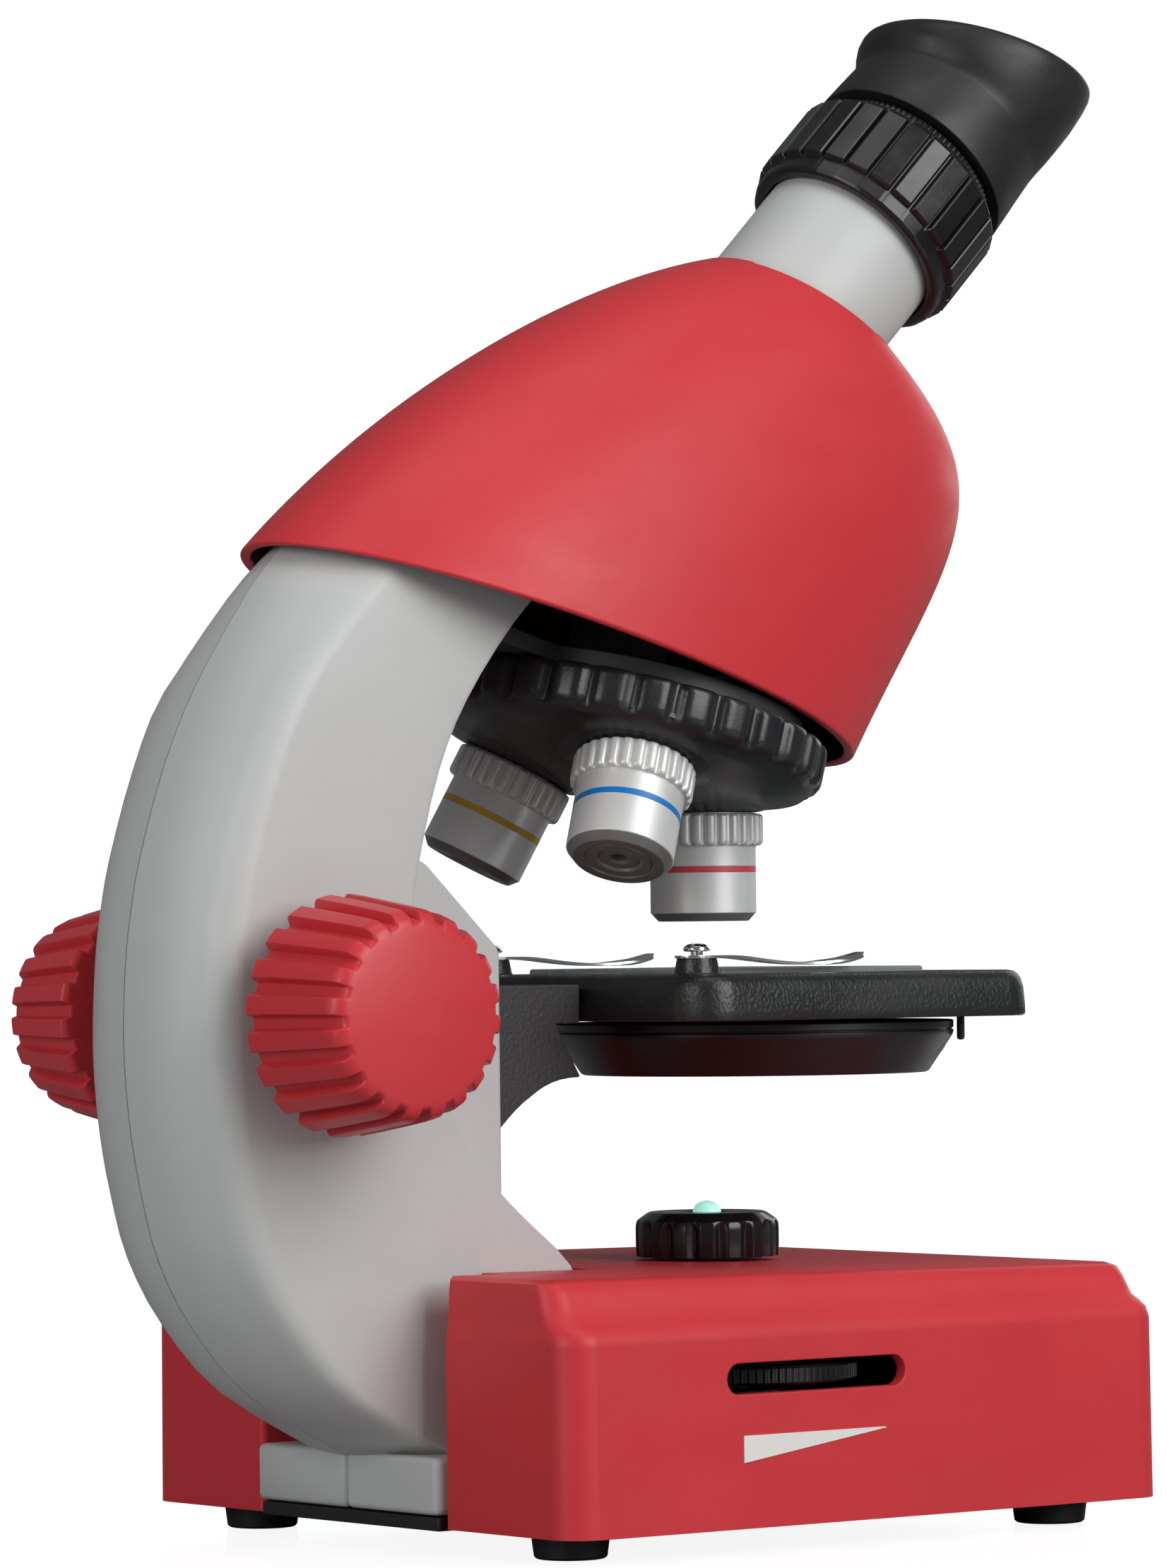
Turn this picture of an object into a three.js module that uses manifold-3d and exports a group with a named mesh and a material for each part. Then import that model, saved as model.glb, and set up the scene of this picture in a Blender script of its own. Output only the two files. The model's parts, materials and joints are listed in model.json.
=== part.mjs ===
// A junior compound microscope: red base with a lamp, grey C-shaped arm, focusing stage,
// tilted three-objective turret, red hood and a 45 degree zoom eyepiece.
// Millimetres, +Z up, -Y towards the user. The frame's origin is the middle of the
// object's footprint on the table; lengths along Y below are counted from the focus shaft.

import * as THREE from "three";
import { mergeVertices } from "three/addons/utils/BufferGeometryUtils.js";
import Module from "manifold-3d";

const wasm = await Module();
wasm.setup();

// ---------- driving dimensions ----------
const gap = 0.3; // between neighbouring pieces
const shaftBehindCentre = 82.96; // focus shaft behind the middle of the footprint
const shaftHeight = 94.3;
const opticalAxisY = -102.2;
const wall = 2.4;

const plateBottom = 4.2;
const plateTop = 6.6;
const base = { halfWidth: 64, rear: -20.9, front: -157.5, bottom: 4.6, shelf: 40, top: 48, corner: 6.2 };
const feet = [[-46.3, -34], [46.3, -34], [-49, -142], [49, -142]];
const footNames = ["foot_rear_left", "foot_rear_right", "foot_front_left", "foot_front_right"];
const plateau = { halfRear: 53.6, halfFront: 58.8, front: -152.4 };
const notch = { halfWidth: 27.4, depth: -34, innerHalfWidth: 21.6, innerDepth: -58.4 };
const dimmer = { slotRear: -55.3, slotFront: -95.5, bottom: 27.8, top: 33.2, radius: 21, thickness: 3.6 };
const bay = { halfWidth: 24.6, rear: -74, front: -132, top: 22.4, wall: 1.6 }; // battery bay
const cell = { radius: 7.1, length: 49.4, height: 14.6, pitch: 15.4 };

const arm = { halfWidth: 21, footHalfWidth: 27, crown: 7 };
const housing = { halfWidth: 15, front: -44, bottom: 58, top: 105.8 };

const knob = { inner: 29, outer: 49, radius: 21, rimRadius: 18.4, ribs: 20 };
const shaftRadius = 3;
const gear = { pitchRadius: 5, teeth: 10, halfLength: 6 };

const stage = { halfWidth: 42, rear: -67.6, front: -148.5, bottom: 92.1, top: 100.5, corner: 8 };
const insert = { halfWidth: 28.5, rear: -83.2, front: -131, thickness: 2.6, proud: 0.95 };
const boss = { x: 30.75, y: -75.9, top: 103.6 };
const pointer = { inner: 37.5, outer: 38.9, halfWidth: 2, bottom: 87.6, angle: -132 };
const wheel = { y: -114, topRadius: 36.9, bottomRadius: 32.2, top: 91.4, bottom: 81.8, recess: 83.1 };

const lamp = { radius: 13.2, top: 56.6, bottom: 48.4, flutes: 16 };

const turret = { tilt: 16, apexHeight: 204, rimRadius: 36.5, rimTop: -57.8, rimBottom: -65.2, flutes: 28 };
const objective = { shoulder: -74, tip: -94, knurlRadius: 11.1, bodyRadius: 9.75 };

const eyepiece = { y: -139.6, height: 237.6, tilt: 45, tubeRadius: 17.5 };
const ring = { start: -2.5, end: 17.5, radius: 21.2, ribs: 26 };

// ---------- materials ----------
function plastic(color, roughness, metalness = 0) {
  return new THREE.MeshStandardMaterial({ color, roughness, metalness });
}
const redPlastic = plastic(0xcd3e44, 0.42);
const greyPlastic = plastic(0xc8cac8, 0.5);
const blackPlastic = plastic(0x17181a, 0.5);
const blackRubber = plastic(0x141414, 0.85);
const steel = plastic(0xb8bcc0, 0.3, 1);
const brass = plastic(0xc2a25a, 0.35, 1);
const satinSilver = plastic(0xb9bcbd, 0.38, 0.85);
const clear = plastic(0xdfeee8, 0.08);
clear.transparent = true;
clear.opacity = 0.4;
const circuitGreen = plastic(0x1f6b41, 0.5);
const cellWrap = plastic(0x2c3a4c, 0.4);

// ---------- building blocks ----------
function toSolid(geometry) {
  const plain = geometry.index ? geometry.toNonIndexed() : geometry.clone();
  plain.deleteAttribute("normal");
  plain.deleteAttribute("uv");
  const merged = mergeVertices(plain, 1e-4);
  const mesh = new wasm.Mesh({
    numProp: 3,
    vertProperties: merged.attributes.position.array,
    triVerts: new Uint32Array(merged.index.array),
  });
  return new wasm.Manifold(mesh);
}

function toGeometry(solid) {
  const mesh = solid.getMesh();
  const geometry = new THREE.BufferGeometry();
  geometry.setAttribute("position", new THREE.BufferAttribute(new Float32Array(mesh.vertProperties), 3));
  geometry.setIndex(new THREE.BufferAttribute(new Uint32Array(mesh.triVerts), 1));
  geometry.computeVertexNormals();
  return geometry;
}

function cut(geometry, ...tools) {
  let solid = toSolid(geometry);
  for (const tool of tools) solid = solid.subtract(toSolid(tool));
  return toGeometry(solid);
}

function join(geometry, ...others) {
  let solid = toSolid(geometry);
  for (const other of others) solid = solid.add(toSolid(other));
  return toGeometry(solid);
}

function common(geometry, other) {
  return toGeometry(toSolid(geometry).intersect(toSolid(other)));
}

// A box between two corners.
function block(x0, x1, y0, y1, z0, z1) {
  const box = new THREE.BoxGeometry(Math.abs(x1 - x0), Math.abs(y1 - y0), Math.abs(z1 - z0));
  return box.translate((x0 + x1) / 2, (y0 + y1) / 2, (z0 + z1) / 2);
}

// A shape turned about Z, from [radius, height] points that start and end on the axis
// or come back to where they began; the points run anticlockwise seen with r to the right.
function turned(points, segments = 20) {
  const profile = points.map(([r, z]) => new THREE.Vector2(r, z));
  return new THREE.LatheGeometry(profile, segments).rotateX(Math.PI / 2);
}

function disc(radius, z0, z1, segments = 20, chamfer = 0) {
  if (chamfer === 0) return turned([[0, z0], [radius, z0], [radius, z1], [0, z1]], segments);
  const lip = radius - chamfer;
  const profile = [[0, z0], [lip, z0], [radius, z0 + chamfer], [radius, z1 - chamfer], [lip, z1], [0, z1]];
  return turned(profile, segments);
}

function tube(outer, inner, z0, z1, segments = 20) {
  return turned([[inner, z0], [outer, z0], [outer, z1], [inner, z1], [inner, z0]], segments);
}

// A flat outline with rounded corners: points are [x, y, radius].
function outline(points) {
  const shape = new THREE.Shape();
  const count = points.length;
  for (let i = 0; i < count; i++) {
    const corner = new THREE.Vector2(points[i][0], points[i][1]);
    const [beforeX, beforeY] = points[(i + count - 1) % count];
    const [afterX, afterY] = points[(i + 1) % count];
    const before = new THREE.Vector2(beforeX, beforeY);
    const after = new THREE.Vector2(afterX, afterY);
    const radius = points[i][2];
    const enter = corner.clone().lerp(before, radius / corner.distanceTo(before));
    const leave = corner.clone().lerp(after, radius / corner.distanceTo(after));
    if (i === 0) shape.moveTo(enter.x, enter.y);
    else shape.lineTo(enter.x, enter.y);
    if (radius > 0) shape.quadraticCurveTo(corner.x, corner.y, leave.x, leave.y);
  }
  shape.closePath();
  return shape;
}

// An outline raised from z0 to z1, with an optional bevel on both rims.
function raised(shape, z0, z1, bevel = 0, curveSegments = 4) {
  const settings = {
    depth: z1 - z0 - 2 * bevel,
    curveSegments,
    bevelEnabled: bevel > 0,
    bevelSize: bevel,
    bevelThickness: bevel,
    bevelOffset: -bevel,
    bevelSegments: 1,
  };
  return new THREE.ExtrudeGeometry(shape, settings).translate(0, 0, z0 + bevel);
}

// A closed skin through rings of points; each ring has the same number of points. The
// rings run upwards with their points anticlockwise seen from above.
function skin(rings, closed = false) {
  const perRing = rings[0].length;
  const positions = rings.flat().flatMap((p) => [p.x, p.y, p.z]);
  const faces = [];
  const count = rings.length;
  for (let i = 0; i < (closed ? count : count - 1); i++) {
    const here = i * perRing;
    const next = ((i + 1) % count) * perRing;
    for (let k = 0; k < perRing; k++) {
      const l = (k + 1) % perRing;
      faces.push(here + k, here + l, next + l);
      faces.push(here + k, next + l, next + k);
    }
  }
  if (!closed) {
    for (const [ring, turn] of [[rings[0], 1], [rings[count - 1], 0]]) {
      const centre = ring.reduce((sum, p) => sum.add(p), new THREE.Vector3()).divideScalar(perRing);
      const start = turn ? 0 : (count - 1) * perRing;
      const hub = positions.length / 3;
      positions.push(centre.x, centre.y, centre.z);
      for (let k = 0; k < perRing; k++) {
        const l = (k + 1) % perRing;
        if (turn) faces.push(hub, start + l, start + k);
        else faces.push(hub, start + k, start + l);
      }
    }
  }
  const geometry = new THREE.BufferGeometry();
  geometry.setAttribute("position", new THREE.Float32BufferAttribute(positions, 3));
  geometry.setIndex(faces);
  return geometry;
}

// A disc whose rim goes in and out: teeth evenly spaced, each with a land and a groove.
function fluted(radius, grooveRadius, count, z0, z1, landShare = 0.5) {
  const points = [];
  const step = (2 * Math.PI) / count;
  for (let i = 0; i < count; i++) {
    const middle = i * step;
    const halfLand = (step * landShare) / 2;
    const flank = step * 0.08;
    const halfGroove = (step * (1 - landShare)) / 2 - flank;
    const corners = [
      [radius, middle - halfLand],
      [radius, middle + halfLand],
      [grooveRadius, middle + step / 2 - halfGroove],
      [grooveRadius, middle + step / 2 + halfGroove],
    ];
    for (const [r, angle] of corners) {
      points.push(new THREE.Vector2(r * Math.cos(angle), r * Math.sin(angle)));
    }
  }
  return raised(new THREE.Shape(points), z0, z1, 0, 1);
}

const model = new THREE.Group();
const stand = new THREE.Group();
stand.position.set(0, shaftBehindCentre, 0);
model.add(stand);

function piece(name, geometry, material, parent = stand) {
  const mesh = new THREE.Mesh(geometry, material);
  mesh.name = name;
  parent.add(mesh);
  return mesh;
}

// ---------- base ----------
function baseOutline(inset) {
  const { halfWidth, rear, front, corner } = base;
  const w = halfWidth - inset;
  const r = corner - inset / 2;
  return outline([
    [-w, front + inset, r],
    [w, front + inset, r],
    [w, rear - inset, r * 0.6],
    [-w, rear - inset, r * 0.6],
  ]);
}

function plateauOutline(inset) {
  const { halfRear, halfFront, front } = plateau;
  return outline([
    [-halfFront + inset, front + inset, 9],
    [halfFront - inset, front + inset, 9],
    [halfRear - inset, base.rear - inset, 4],
    [-halfRear + inset, base.rear - inset, 4],
  ]);
}

function makeBase() {
  const outside = join(
    raised(baseOutline(0), base.bottom, base.shelf, 1.6),
    raised(plateauOutline(0), base.shelf - 6, base.top, 2.4),
  );
  const inside = join(
    raised(baseOutline(wall), base.bottom - 1, base.shelf - wall),
    raised(plateauOutline(wall), base.shelf - 8, base.top - wall),
  );
  const { halfWidth, depth, innerHalfWidth, innerDepth } = notch;
  const pocket = join(
    block(-halfWidth - wall, halfWidth + wall, depth - wall, 0, 0, 60),
    block(-innerHalfWidth - wall, innerHalfWidth + wall, innerDepth - wall, 0, 0, 60),
  );
  const opening = join(
    block(-halfWidth, halfWidth, depth, 0, 0, 60),
    block(-innerHalfWidth, innerHalfWidth, innerDepth, 0, 0, 60),
  );
  const slotShape = outline([
    [dimmer.slotFront, dimmer.bottom, 2.5],
    [dimmer.slotRear, dimmer.bottom, 2.5],
    [dimmer.slotRear, dimmer.top, 2.5],
    [dimmer.slotFront, dimmer.top, 2.5],
  ]);
  const slot = raised(slotShape, 0, 12).rotateX(Math.PI / 2).rotateZ(Math.PI / 2).translate(-66, 0, 0);
  const lampHole = disc(5.5, 30, 60, 16).translate(0, opticalAxisY, 0);
  // The pocket's walls stop above the bottom plate, which runs on under the arm's foot.
  const plateRoom = block(-halfWidth - 3, halfWidth + 3, innerDepth - 3, base.rear - 2.9, 0, plateTop + gap);
  return cut(outside, cut(inside, pocket), opening, slot, lampHole, plateRoom);
}
piece("base_shell", makeBase(), redPlastic);

function makeBottomPlate() {
  const shape = outline([
    [-base.halfWidth + 3.2, base.front + 3.2, 8],
    [base.halfWidth - 3.2, base.front + 3.2, 8],
    [base.halfWidth - 3.2, base.rear - 3.2, 4],
    [-base.halfWidth + 3.2, base.rear - 3.2, 4],
  ]);
  const tongue = block(-26.6, 26.6, base.rear - 6, -20.2, plateBottom, plateTop);
  const plate = join(raised(shape, plateBottom, plateTop), tongue);
  const opening = block(-bay.halfWidth, bay.halfWidth, bay.front, bay.rear, 0, 10);
  const footHoles = [];
  for (const [x, y] of feet) footHoles.push(disc(4.3, 0, 10, 12).translate(x, y, 0));
  return cut(plate, opening, ...footHoles);
}
piece("base_plate", makeBottomPlate(), blackPlastic);

for (const [i, [x, y]] of feet.entries()) {
  const profile = [[0, 0], [6.1, 0], [6.5, 0.6], [6.85, 3.9], [4, 3.9], [4, 8.2], [0, 8.2]];
  piece(footNames[i], turned(profile, 12).translate(x, y, 0), blackRubber);
}

// ---------- battery bay ----------
function makeTray() {
  const { halfWidth, front, rear, top, wall: thin } = bay;
  const side = halfWidth + thin;
  const outside = block(-side, side, front - thin, rear + thin, plateTop + gap, top + thin);
  const inside = block(-halfWidth, halfWidth, front, rear, 0, top);
  return cut(outside, inside);
}
piece("battery_tray", makeTray(), blackPlastic);

function makeDoor() {
  const side = bay.halfWidth - gap;
  const panel = block(-side, side, bay.front + gap, bay.rear - gap, plateBottom, 6);
  const latch = block(-5, 5, bay.rear - 3, bay.rear - 1, 5.9, 9);
  const grips = [];
  for (const y of [-80, -83, -86]) grips.push(block(-9, 9, y - 0.5, y + 0.5, 3.6, 4.3));
  return join(panel, latch, ...grips);
}
piece("battery_door", makeDoor(), blackPlastic);

for (const i of [0, 1, 2]) {
  const profile = [
    [0, 0], [cell.radius - 0.6, 0], [cell.radius, 0.6], [cell.radius, cell.length - 0.6],
    [cell.radius - 0.6, cell.length], [2.7, cell.length], [2.7, cell.length + 1.1], [0, cell.length + 1.1],
  ];
  const body = turned(profile, 12).rotateX(i % 2 ? -Math.PI / 2 : Math.PI / 2);
  const y = (bay.front + bay.rear) / 2 + (i % 2 ? -1 : 1) * (cell.length / 2);
  piece(`battery_${i + 1}`, body.translate((i - 1) * cell.pitch, y, cell.height), cellWrap);
}

// Contact plates stand at both ends of the bay; each negative end has a conical spring.
function contact(x0, x1, atFront, springX) {
  const y = atFront ? bay.front + gap : bay.rear - gap;
  const inward = atFront ? 1 : -1;
  const plate = block(x0, x1, y, y + inward * 0.6, 8.6, 20.6);
  if (springX === null) return plate;
  const spring = turned([[0, 0], [5, 0], [3, 2.2], [0, 2.2]], 12);
  spring.rotateX(atFront ? -Math.PI / 2 : Math.PI / 2);
  return join(plate, spring.translate(springX, y + inward * 0.5, cell.height));
}
const { pitch } = cell;
piece("contact_positive", contact(-pitch - 5, -pitch + 5, true, null), steel);
piece("contact_bridge_rear", contact(-pitch - 5, 5, false, -pitch), steel);
piece("contact_bridge_front", contact(-5, pitch + 5, true, 0), steel);
piece("contact_negative", contact(pitch - 5, pitch + 5, false, pitch), steel);

// ---------- lamp and dimmer ----------
function makeCollar() {
  const skirt = fluted(lamp.radius, lamp.radius - 0.9, lamp.flutes, lamp.bottom, 55.1, 0.62);
  const cap = turned([[0, 55], [12.6, 55], [10.4, lamp.top], [0, lamp.top]], 16);
  const bore = turned([[0, 40], [8.6, 40], [8.6, 53.4], [3.1, 53.4], [3.1, 60], [0, 60]], 16);
  return cut(join(skirt, cap), bore);
}
piece("lamp_collar", makeCollar().translate(0, opticalAxisY, 0), blackPlastic);
const dome = turned([
  [0, 50.6], [3.6, 50.6], [3.6, 52.2], [2.6, 52.2], [2.6, 56.2], [2.1, 57.6], [1, 58.4], [0, 58.6],
], 12);
piece("lamp_led", dome.translate(0, opticalAxisY, 0), clear);
const lampBoard = cut(disc(7.6, 48.6, 50.2, 16), block(-1, 1, -9, -6, 40, 60));
piece("lamp_board", lampBoard.translate(0, opticalAxisY, 0), circuitGreen);

const dimmerX = -base.halfWidth + 1.2 + dimmer.radius;
const dimmerY = (dimmer.slotRear + dimmer.slotFront) / 2;
const dimmerZ = (dimmer.bottom + dimmer.top) / 2;
function makeDimmer() {
  const half = dimmer.thickness / 2;
  const rim = fluted(dimmer.radius, dimmer.radius - 0.7, 24, -half, half);
  return cut(rim, disc(2.3, -5, 5, 12)).translate(dimmerX, dimmerY, dimmerZ);
}
piece("dimmer_wheel", makeDimmer(), blackPlastic);
const dimmerStem = join(disc(2, -3.4, 2.6, 16), block(-5.5, 5.5, -5, 5, -8.4, -3.2));
piece("dimmer_potentiometer", dimmerStem.translate(dimmerX, dimmerY, dimmerZ), steel);
const dimmerBoard = block(dimmerX - 9, dimmerX + 7, dimmerY - 10, dimmerY + 10, 17.6, 19.4);
piece("dimmer_board", dimmerBoard, circuitGreen);

// Twin lead from the dimmer board up to the lamp, lying under the plateau.
const leadRoute = new THREE.CatmullRomCurve3([
  new THREE.Vector3(dimmerX + 6, dimmerY - 6.6, 20.8),
  new THREE.Vector3(dimmerX + 9, dimmerY - 4.6, 25.6),
  new THREE.Vector3(-23, -84, 26.2),
  new THREE.Vector3(-16, -88, 28.4),
  new THREE.Vector3(-13, -93, 36),
  new THREE.Vector3(-4, -100, 42.6),
  new THREE.Vector3(0, opticalAxisY, 47.4),
]);
const leadSection = new THREE.Shape(new THREE.EllipseCurve(0, 0, 0.9, 0.9).getPoints(8).slice(0, 8));
const lead = new THREE.ExtrudeGeometry(leadSection, { steps: 14, extrudePath: leadRoute });
piece("lamp_lead", lead, blackPlastic);

// ---------- arm ----------
// Side view of the arm as pairs of points: inner edge and crowned back, each [y, z].
const backCentre = [-95, 92];
const backRadius = 121.8;
function backPoint(z) {
  return [backCentre[0] + Math.sqrt(backRadius ** 2 - (z - backCentre[1]) ** 2), z];
}
const armStations = [
  [[-57.6, 16.6], [-19.5, 16.2]],
  [[-57.8, 27], [0.6, 27.2]],
  [[-57.6, 40], [12.8, 39.6]],
  [[-55, 49], backPoint(52)],
  [[-44, 58.4], backPoint(64)],
  [[-36, 66], backPoint(74)],
  [[-29.8, 76], backPoint(84)],
  [[-24.6, 88], backPoint(93)],
  [[-21.4, 103], backPoint(104)],
  [[-21.2, 112], backPoint(112)],
  [[-22.6, 121], backPoint(122)],
  [[-27.2, 137], backPoint(138)],
  [[-33.4, 149.4], backPoint(152)],
  [[-44.6, 163.2], backPoint(168), 20.2, 10],
  [[-58, 175], backPoint(177.4), 18.4, 13],
  [[-66, 184], backPoint(187), 16.8, 15],
];

// Half of one arm section: depth from the inner edge (0) to the back (1), then out in X.
function armRing([inner, back, halfWidth = arm.halfWidth, crown = arm.crown], side, inset) {
  const a = new THREE.Vector2(...inner);
  const b = new THREE.Vector2(...back);
  const depth = a.distanceTo(b);
  const along = b.clone().sub(a).divideScalar(depth);
  const w = halfWidth - inset;
  const rows = [
    [inset, -inset > -0.01 ? 0.15 : -2],
    [inset, w - 1.6],
    [inset + 1.6, w],
    [depth - crown - 4, w],
    [depth - crown + 0.6, w - 1.6],
    [depth - 3.6 - inset * 0.3, w - 7],
    [depth - 1 - inset * 0.8, w - 13.5],
    [depth - inset, inset > 0 ? -2 : 0.15],
  ];
  const points = rows.map(([d, x]) => new THREE.Vector3(side * x, a.x + along.x * d, a.y + along.y * d));
  return side > 0 ? points : points.reverse();
}

function makeArmHalf(side) {
  const outer = skin(armStations.map((station) => armRing(station, side, 0)));
  const inner = skin(armStations.map((station) => armRing(station, side, wall)));
  const w = side * 0.15;
  const foot = join(
    block(w, side * arm.footHalfWidth, -33.6, -19.4, 6.9, 17),
    block(w, side * (notch.innerHalfWidth - gap), -57.8, -33, 6.9, 18),
  );
  const h = housing;
  const boxShape = outline([
    [-20, h.bottom - 4, 0],
    [h.front + 6, h.bottom - 4, 2],
    [h.front, h.bottom + 4, 2],
    [h.front, h.top, 1.5],
    [-27.4, 121.4, 1],
    [-20, 121.4, 0],
  ]);
  // The outline lies in Y and Z, and is raised along X.
  const box = raised(boxShape, 0, h.halfWidth - 0.15).rotateX(Math.PI / 2).rotateZ(Math.PI / 2);
  box.translate(side > 0 ? 0.15 : -h.halfWidth, 0, 0);
  const channel = block(-8.4, 8.4, h.front - 6, 4, h.bottom - 8.6, h.top + 4.2);
  const hollow = cut(inner, block(-30, 30, -70, -15, 0, 20));
  const shaftHole = disc(5.3, -60, 60, 20).rotateY(Math.PI / 2).translate(0, 0, shaftHeight);
  return cut(join(outer, foot, box), hollow, channel, shaftHole);
}
piece("arm_left_half", makeArmHalf(-1), greyPlastic);
piece("arm_right_half", makeArmHalf(1), greyPlastic);

// ---------- focus drive ----------
const focus = new THREE.Group();
focus.position.set(0, 0, shaftHeight);
stand.add(focus);

const lyingShaft = disc(shaftRadius, -knob.outer + 5, knob.outer - 5, 20, 0.4).rotateY(Math.PI / 2);
piece("focus_shaft", lyingShaft, steel, focus);
for (const [name, side] of [["shaft_bush_left", -1], ["shaft_bush_right", 1]]) {
  const bore = shaftRadius + 0.12;
  const bush = turned([[bore, 17], [7, 17], [7, 18.2], [5, 18.2], [5, 21.6], [bore, 21.6], [bore, 17]], 20);
  piece(name, bush.rotateY((side * Math.PI) / 2), brass, focus);
}

function makePinion() {
  const toothModule = (2 * gear.pitchRadius) / gear.teeth;
  const points = [];
  const step = (2 * Math.PI) / gear.teeth;
  const root = gear.pitchRadius - 1.15 * toothModule;
  const crest = gear.pitchRadius + 0.8 * toothModule;
  for (let i = 0; i < gear.teeth; i++) {
    const middle = Math.PI + i * step;
    const flank = [[root, -0.2], [crest, -0.055], [crest, 0.055], [root, 0.2]];
    for (const [r, share] of flank) {
      const angle = middle + share * step;
      points.push(new THREE.Vector2(r * Math.cos(angle), r * Math.sin(angle)));
    }
  }
  const blank = raised(new THREE.Shape(points), -gear.halfLength, gear.halfLength, 0, 1);
  // The gear's own X becomes Y and its Y becomes Z.
  blank.rotateX(Math.PI / 2).rotateZ(Math.PI / 2);
  const bore = disc(shaftRadius + gap, -20, 20, 20).rotateY(Math.PI / 2);
  return cut(blank, bore);
}
piece("focus_pinion", makePinion(), brass, focus);

function makeKnob() {
  const length = knob.outer - knob.inner;
  const rim = fluted(knob.radius, knob.radius - 1.7, knob.ribs, 0, length, 0.6);
  const form = turned([
    [0, 0], [knob.radius + gap, 0], [knob.radius + gap, length - 6],
    [knob.rimRadius, length - 1.4], [0, length],
  ], knob.ribs);
  const under = tube(knob.radius - 4, 7, -1, 3, knob.ribs);
  const hub = disc(7.5, -6.4, 3, 16);
  const bore = disc(shaftRadius + gap, -10, length - 4.4, 16);
  return cut(join(cut(common(rim, form), under), hub), bore).translate(0, 0, knob.inner);
}
piece("focus_knob_left", makeKnob().rotateY(-Math.PI / 2), redPlastic, focus);
piece("focus_knob_right", makeKnob().rotateY(Math.PI / 2), redPlastic, focus);

// ---------- stage ----------
const rack = { bottom: 71, top: 117, back: -10.4, front: -6.4 };
function makeRack() {
  const toothPitch = (2 * Math.PI * gear.pitchRadius) / gear.teeth;
  const shape = new THREE.Shape();
  shape.moveTo(rack.back, rack.bottom);
  shape.lineTo(rack.front, rack.bottom);
  // Teeth centred half a pitch off the pinion's own, so that they mesh at the shaft's height.
  const first = Math.ceil((rack.bottom - shaftHeight) / toothPitch - 0.5) + 1;
  const last = Math.floor((rack.top - shaftHeight) / toothPitch - 0.5) - 1;
  for (let i = first; i <= last; i++) {
    const z = shaftHeight + (i + 0.5) * toothPitch;
    shape.lineTo(rack.front, z - 0.75);
    shape.lineTo(rack.front + 2, z - 0.28);
    shape.lineTo(rack.front + 2, z + 0.28);
    shape.lineTo(rack.front, z + 0.75);
  }
  shape.lineTo(rack.front, rack.top);
  shape.lineTo(rack.back, rack.top);
  shape.closePath();
  return raised(shape, -3.5, 3.5, 0, 1).rotateX(Math.PI / 2).rotateZ(Math.PI / 2);
}
piece("focus_rack", makeRack(), brass);

function makeCarriage() {
  const slide = block(-8, 8, -38, rack.back - gap, rack.bottom, 104);
  const neckShape = outline([
    [-36, rack.bottom, 0],
    [-45.5, rack.bottom, 0],
    [-49.1, 73.5, 0],
    [-52.2, 76.3, 0],
    [-56.2, 79, 0],
    [-59.1, 80.6, 0],
    [-62.6, 81.7, 0],
    [-67.1, 82.1, 0],
    [-61.5, 91.8, 0],
    [-67, 91.8, 0],
    [-67, 98.8, 2],
    [-36, 98.8, 0],
  ]);
  const neck = raised(neckShape, -8, 8, 0, 4).rotateX(Math.PI / 2).rotateZ(Math.PI / 2);
  return join(slide, neck);
}
piece("stage_carriage", makeCarriage(), blackPlastic);

function stageOutline(inset) {
  const { halfWidth, rear, front, corner } = stage;
  return outline([
    [-halfWidth + inset, front + inset, corner],
    [halfWidth - inset, front + inset, corner],
    [halfWidth - inset, rear - inset, corner],
    [-halfWidth + inset, rear - inset, corner],
  ]);
}

function makeStage() {
  const slab = raised(stageOutline(0), stage.bottom, stage.top, 1.8, 5);
  const bossProfile = [[0, 97], [4.1, 97], [4.1, stage.top], [3.5, boss.top], [0, boss.top]];
  const bosses = [-1, 1].map((side) => turned(bossProfile, 20).translate(side * boss.x, boss.y, 0));
  const under = raised(stageOutline(2.2), 80, stage.top - 3.4);
  // A small pointer hangs beside the aperture wheel and shows which aperture is in use.
  const tab = block(pointer.inner, pointer.outer, -pointer.halfWidth, pointer.halfWidth, pointer.bottom, 98);
  tab.rotateZ(THREE.MathUtils.degToRad(pointer.angle)).translate(0, wheel.y, 0);
  const wheelPost = disc(4.4, wheel.top + 0.4, 98, 12).translate(0, wheel.y, 0);
  const wheelBore = disc(1.95, 80, 96.6, 12).translate(0, wheel.y, 0);
  const seat = block(
    -insert.halfWidth - gap, insert.halfWidth + gap, insert.front - gap, insert.rear + gap,
    stage.top + insert.proud - insert.thickness - gap, 110,
  );
  const aperture = disc(9, 80, 110, 32).translate(0, opticalAxisY, 0);
  const socket = join(seat, aperture);
  const screwBores = [-1, 1].map((side) => disc(1.3, 99, 110, 12).translate(side * boss.x, boss.y, 0));
  return cut(join(cut(slab, under), wheelPost, tab, ...bosses), socket, wheelBore, ...screwBores);
}
piece("stage_plate", makeStage(), blackPlastic);

const insertTop = stage.top + insert.proud;
const insertShape = outline([
  [-insert.halfWidth, insert.front, 2], [insert.halfWidth, insert.front, 2],
  [insert.halfWidth, insert.rear, 2], [-insert.halfWidth, insert.rear, 2],
]);
const insertPlate = raised(insertShape, insertTop - insert.thickness, insertTop, 0.3);
piece("stage_glass", insertPlate, clear);

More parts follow.
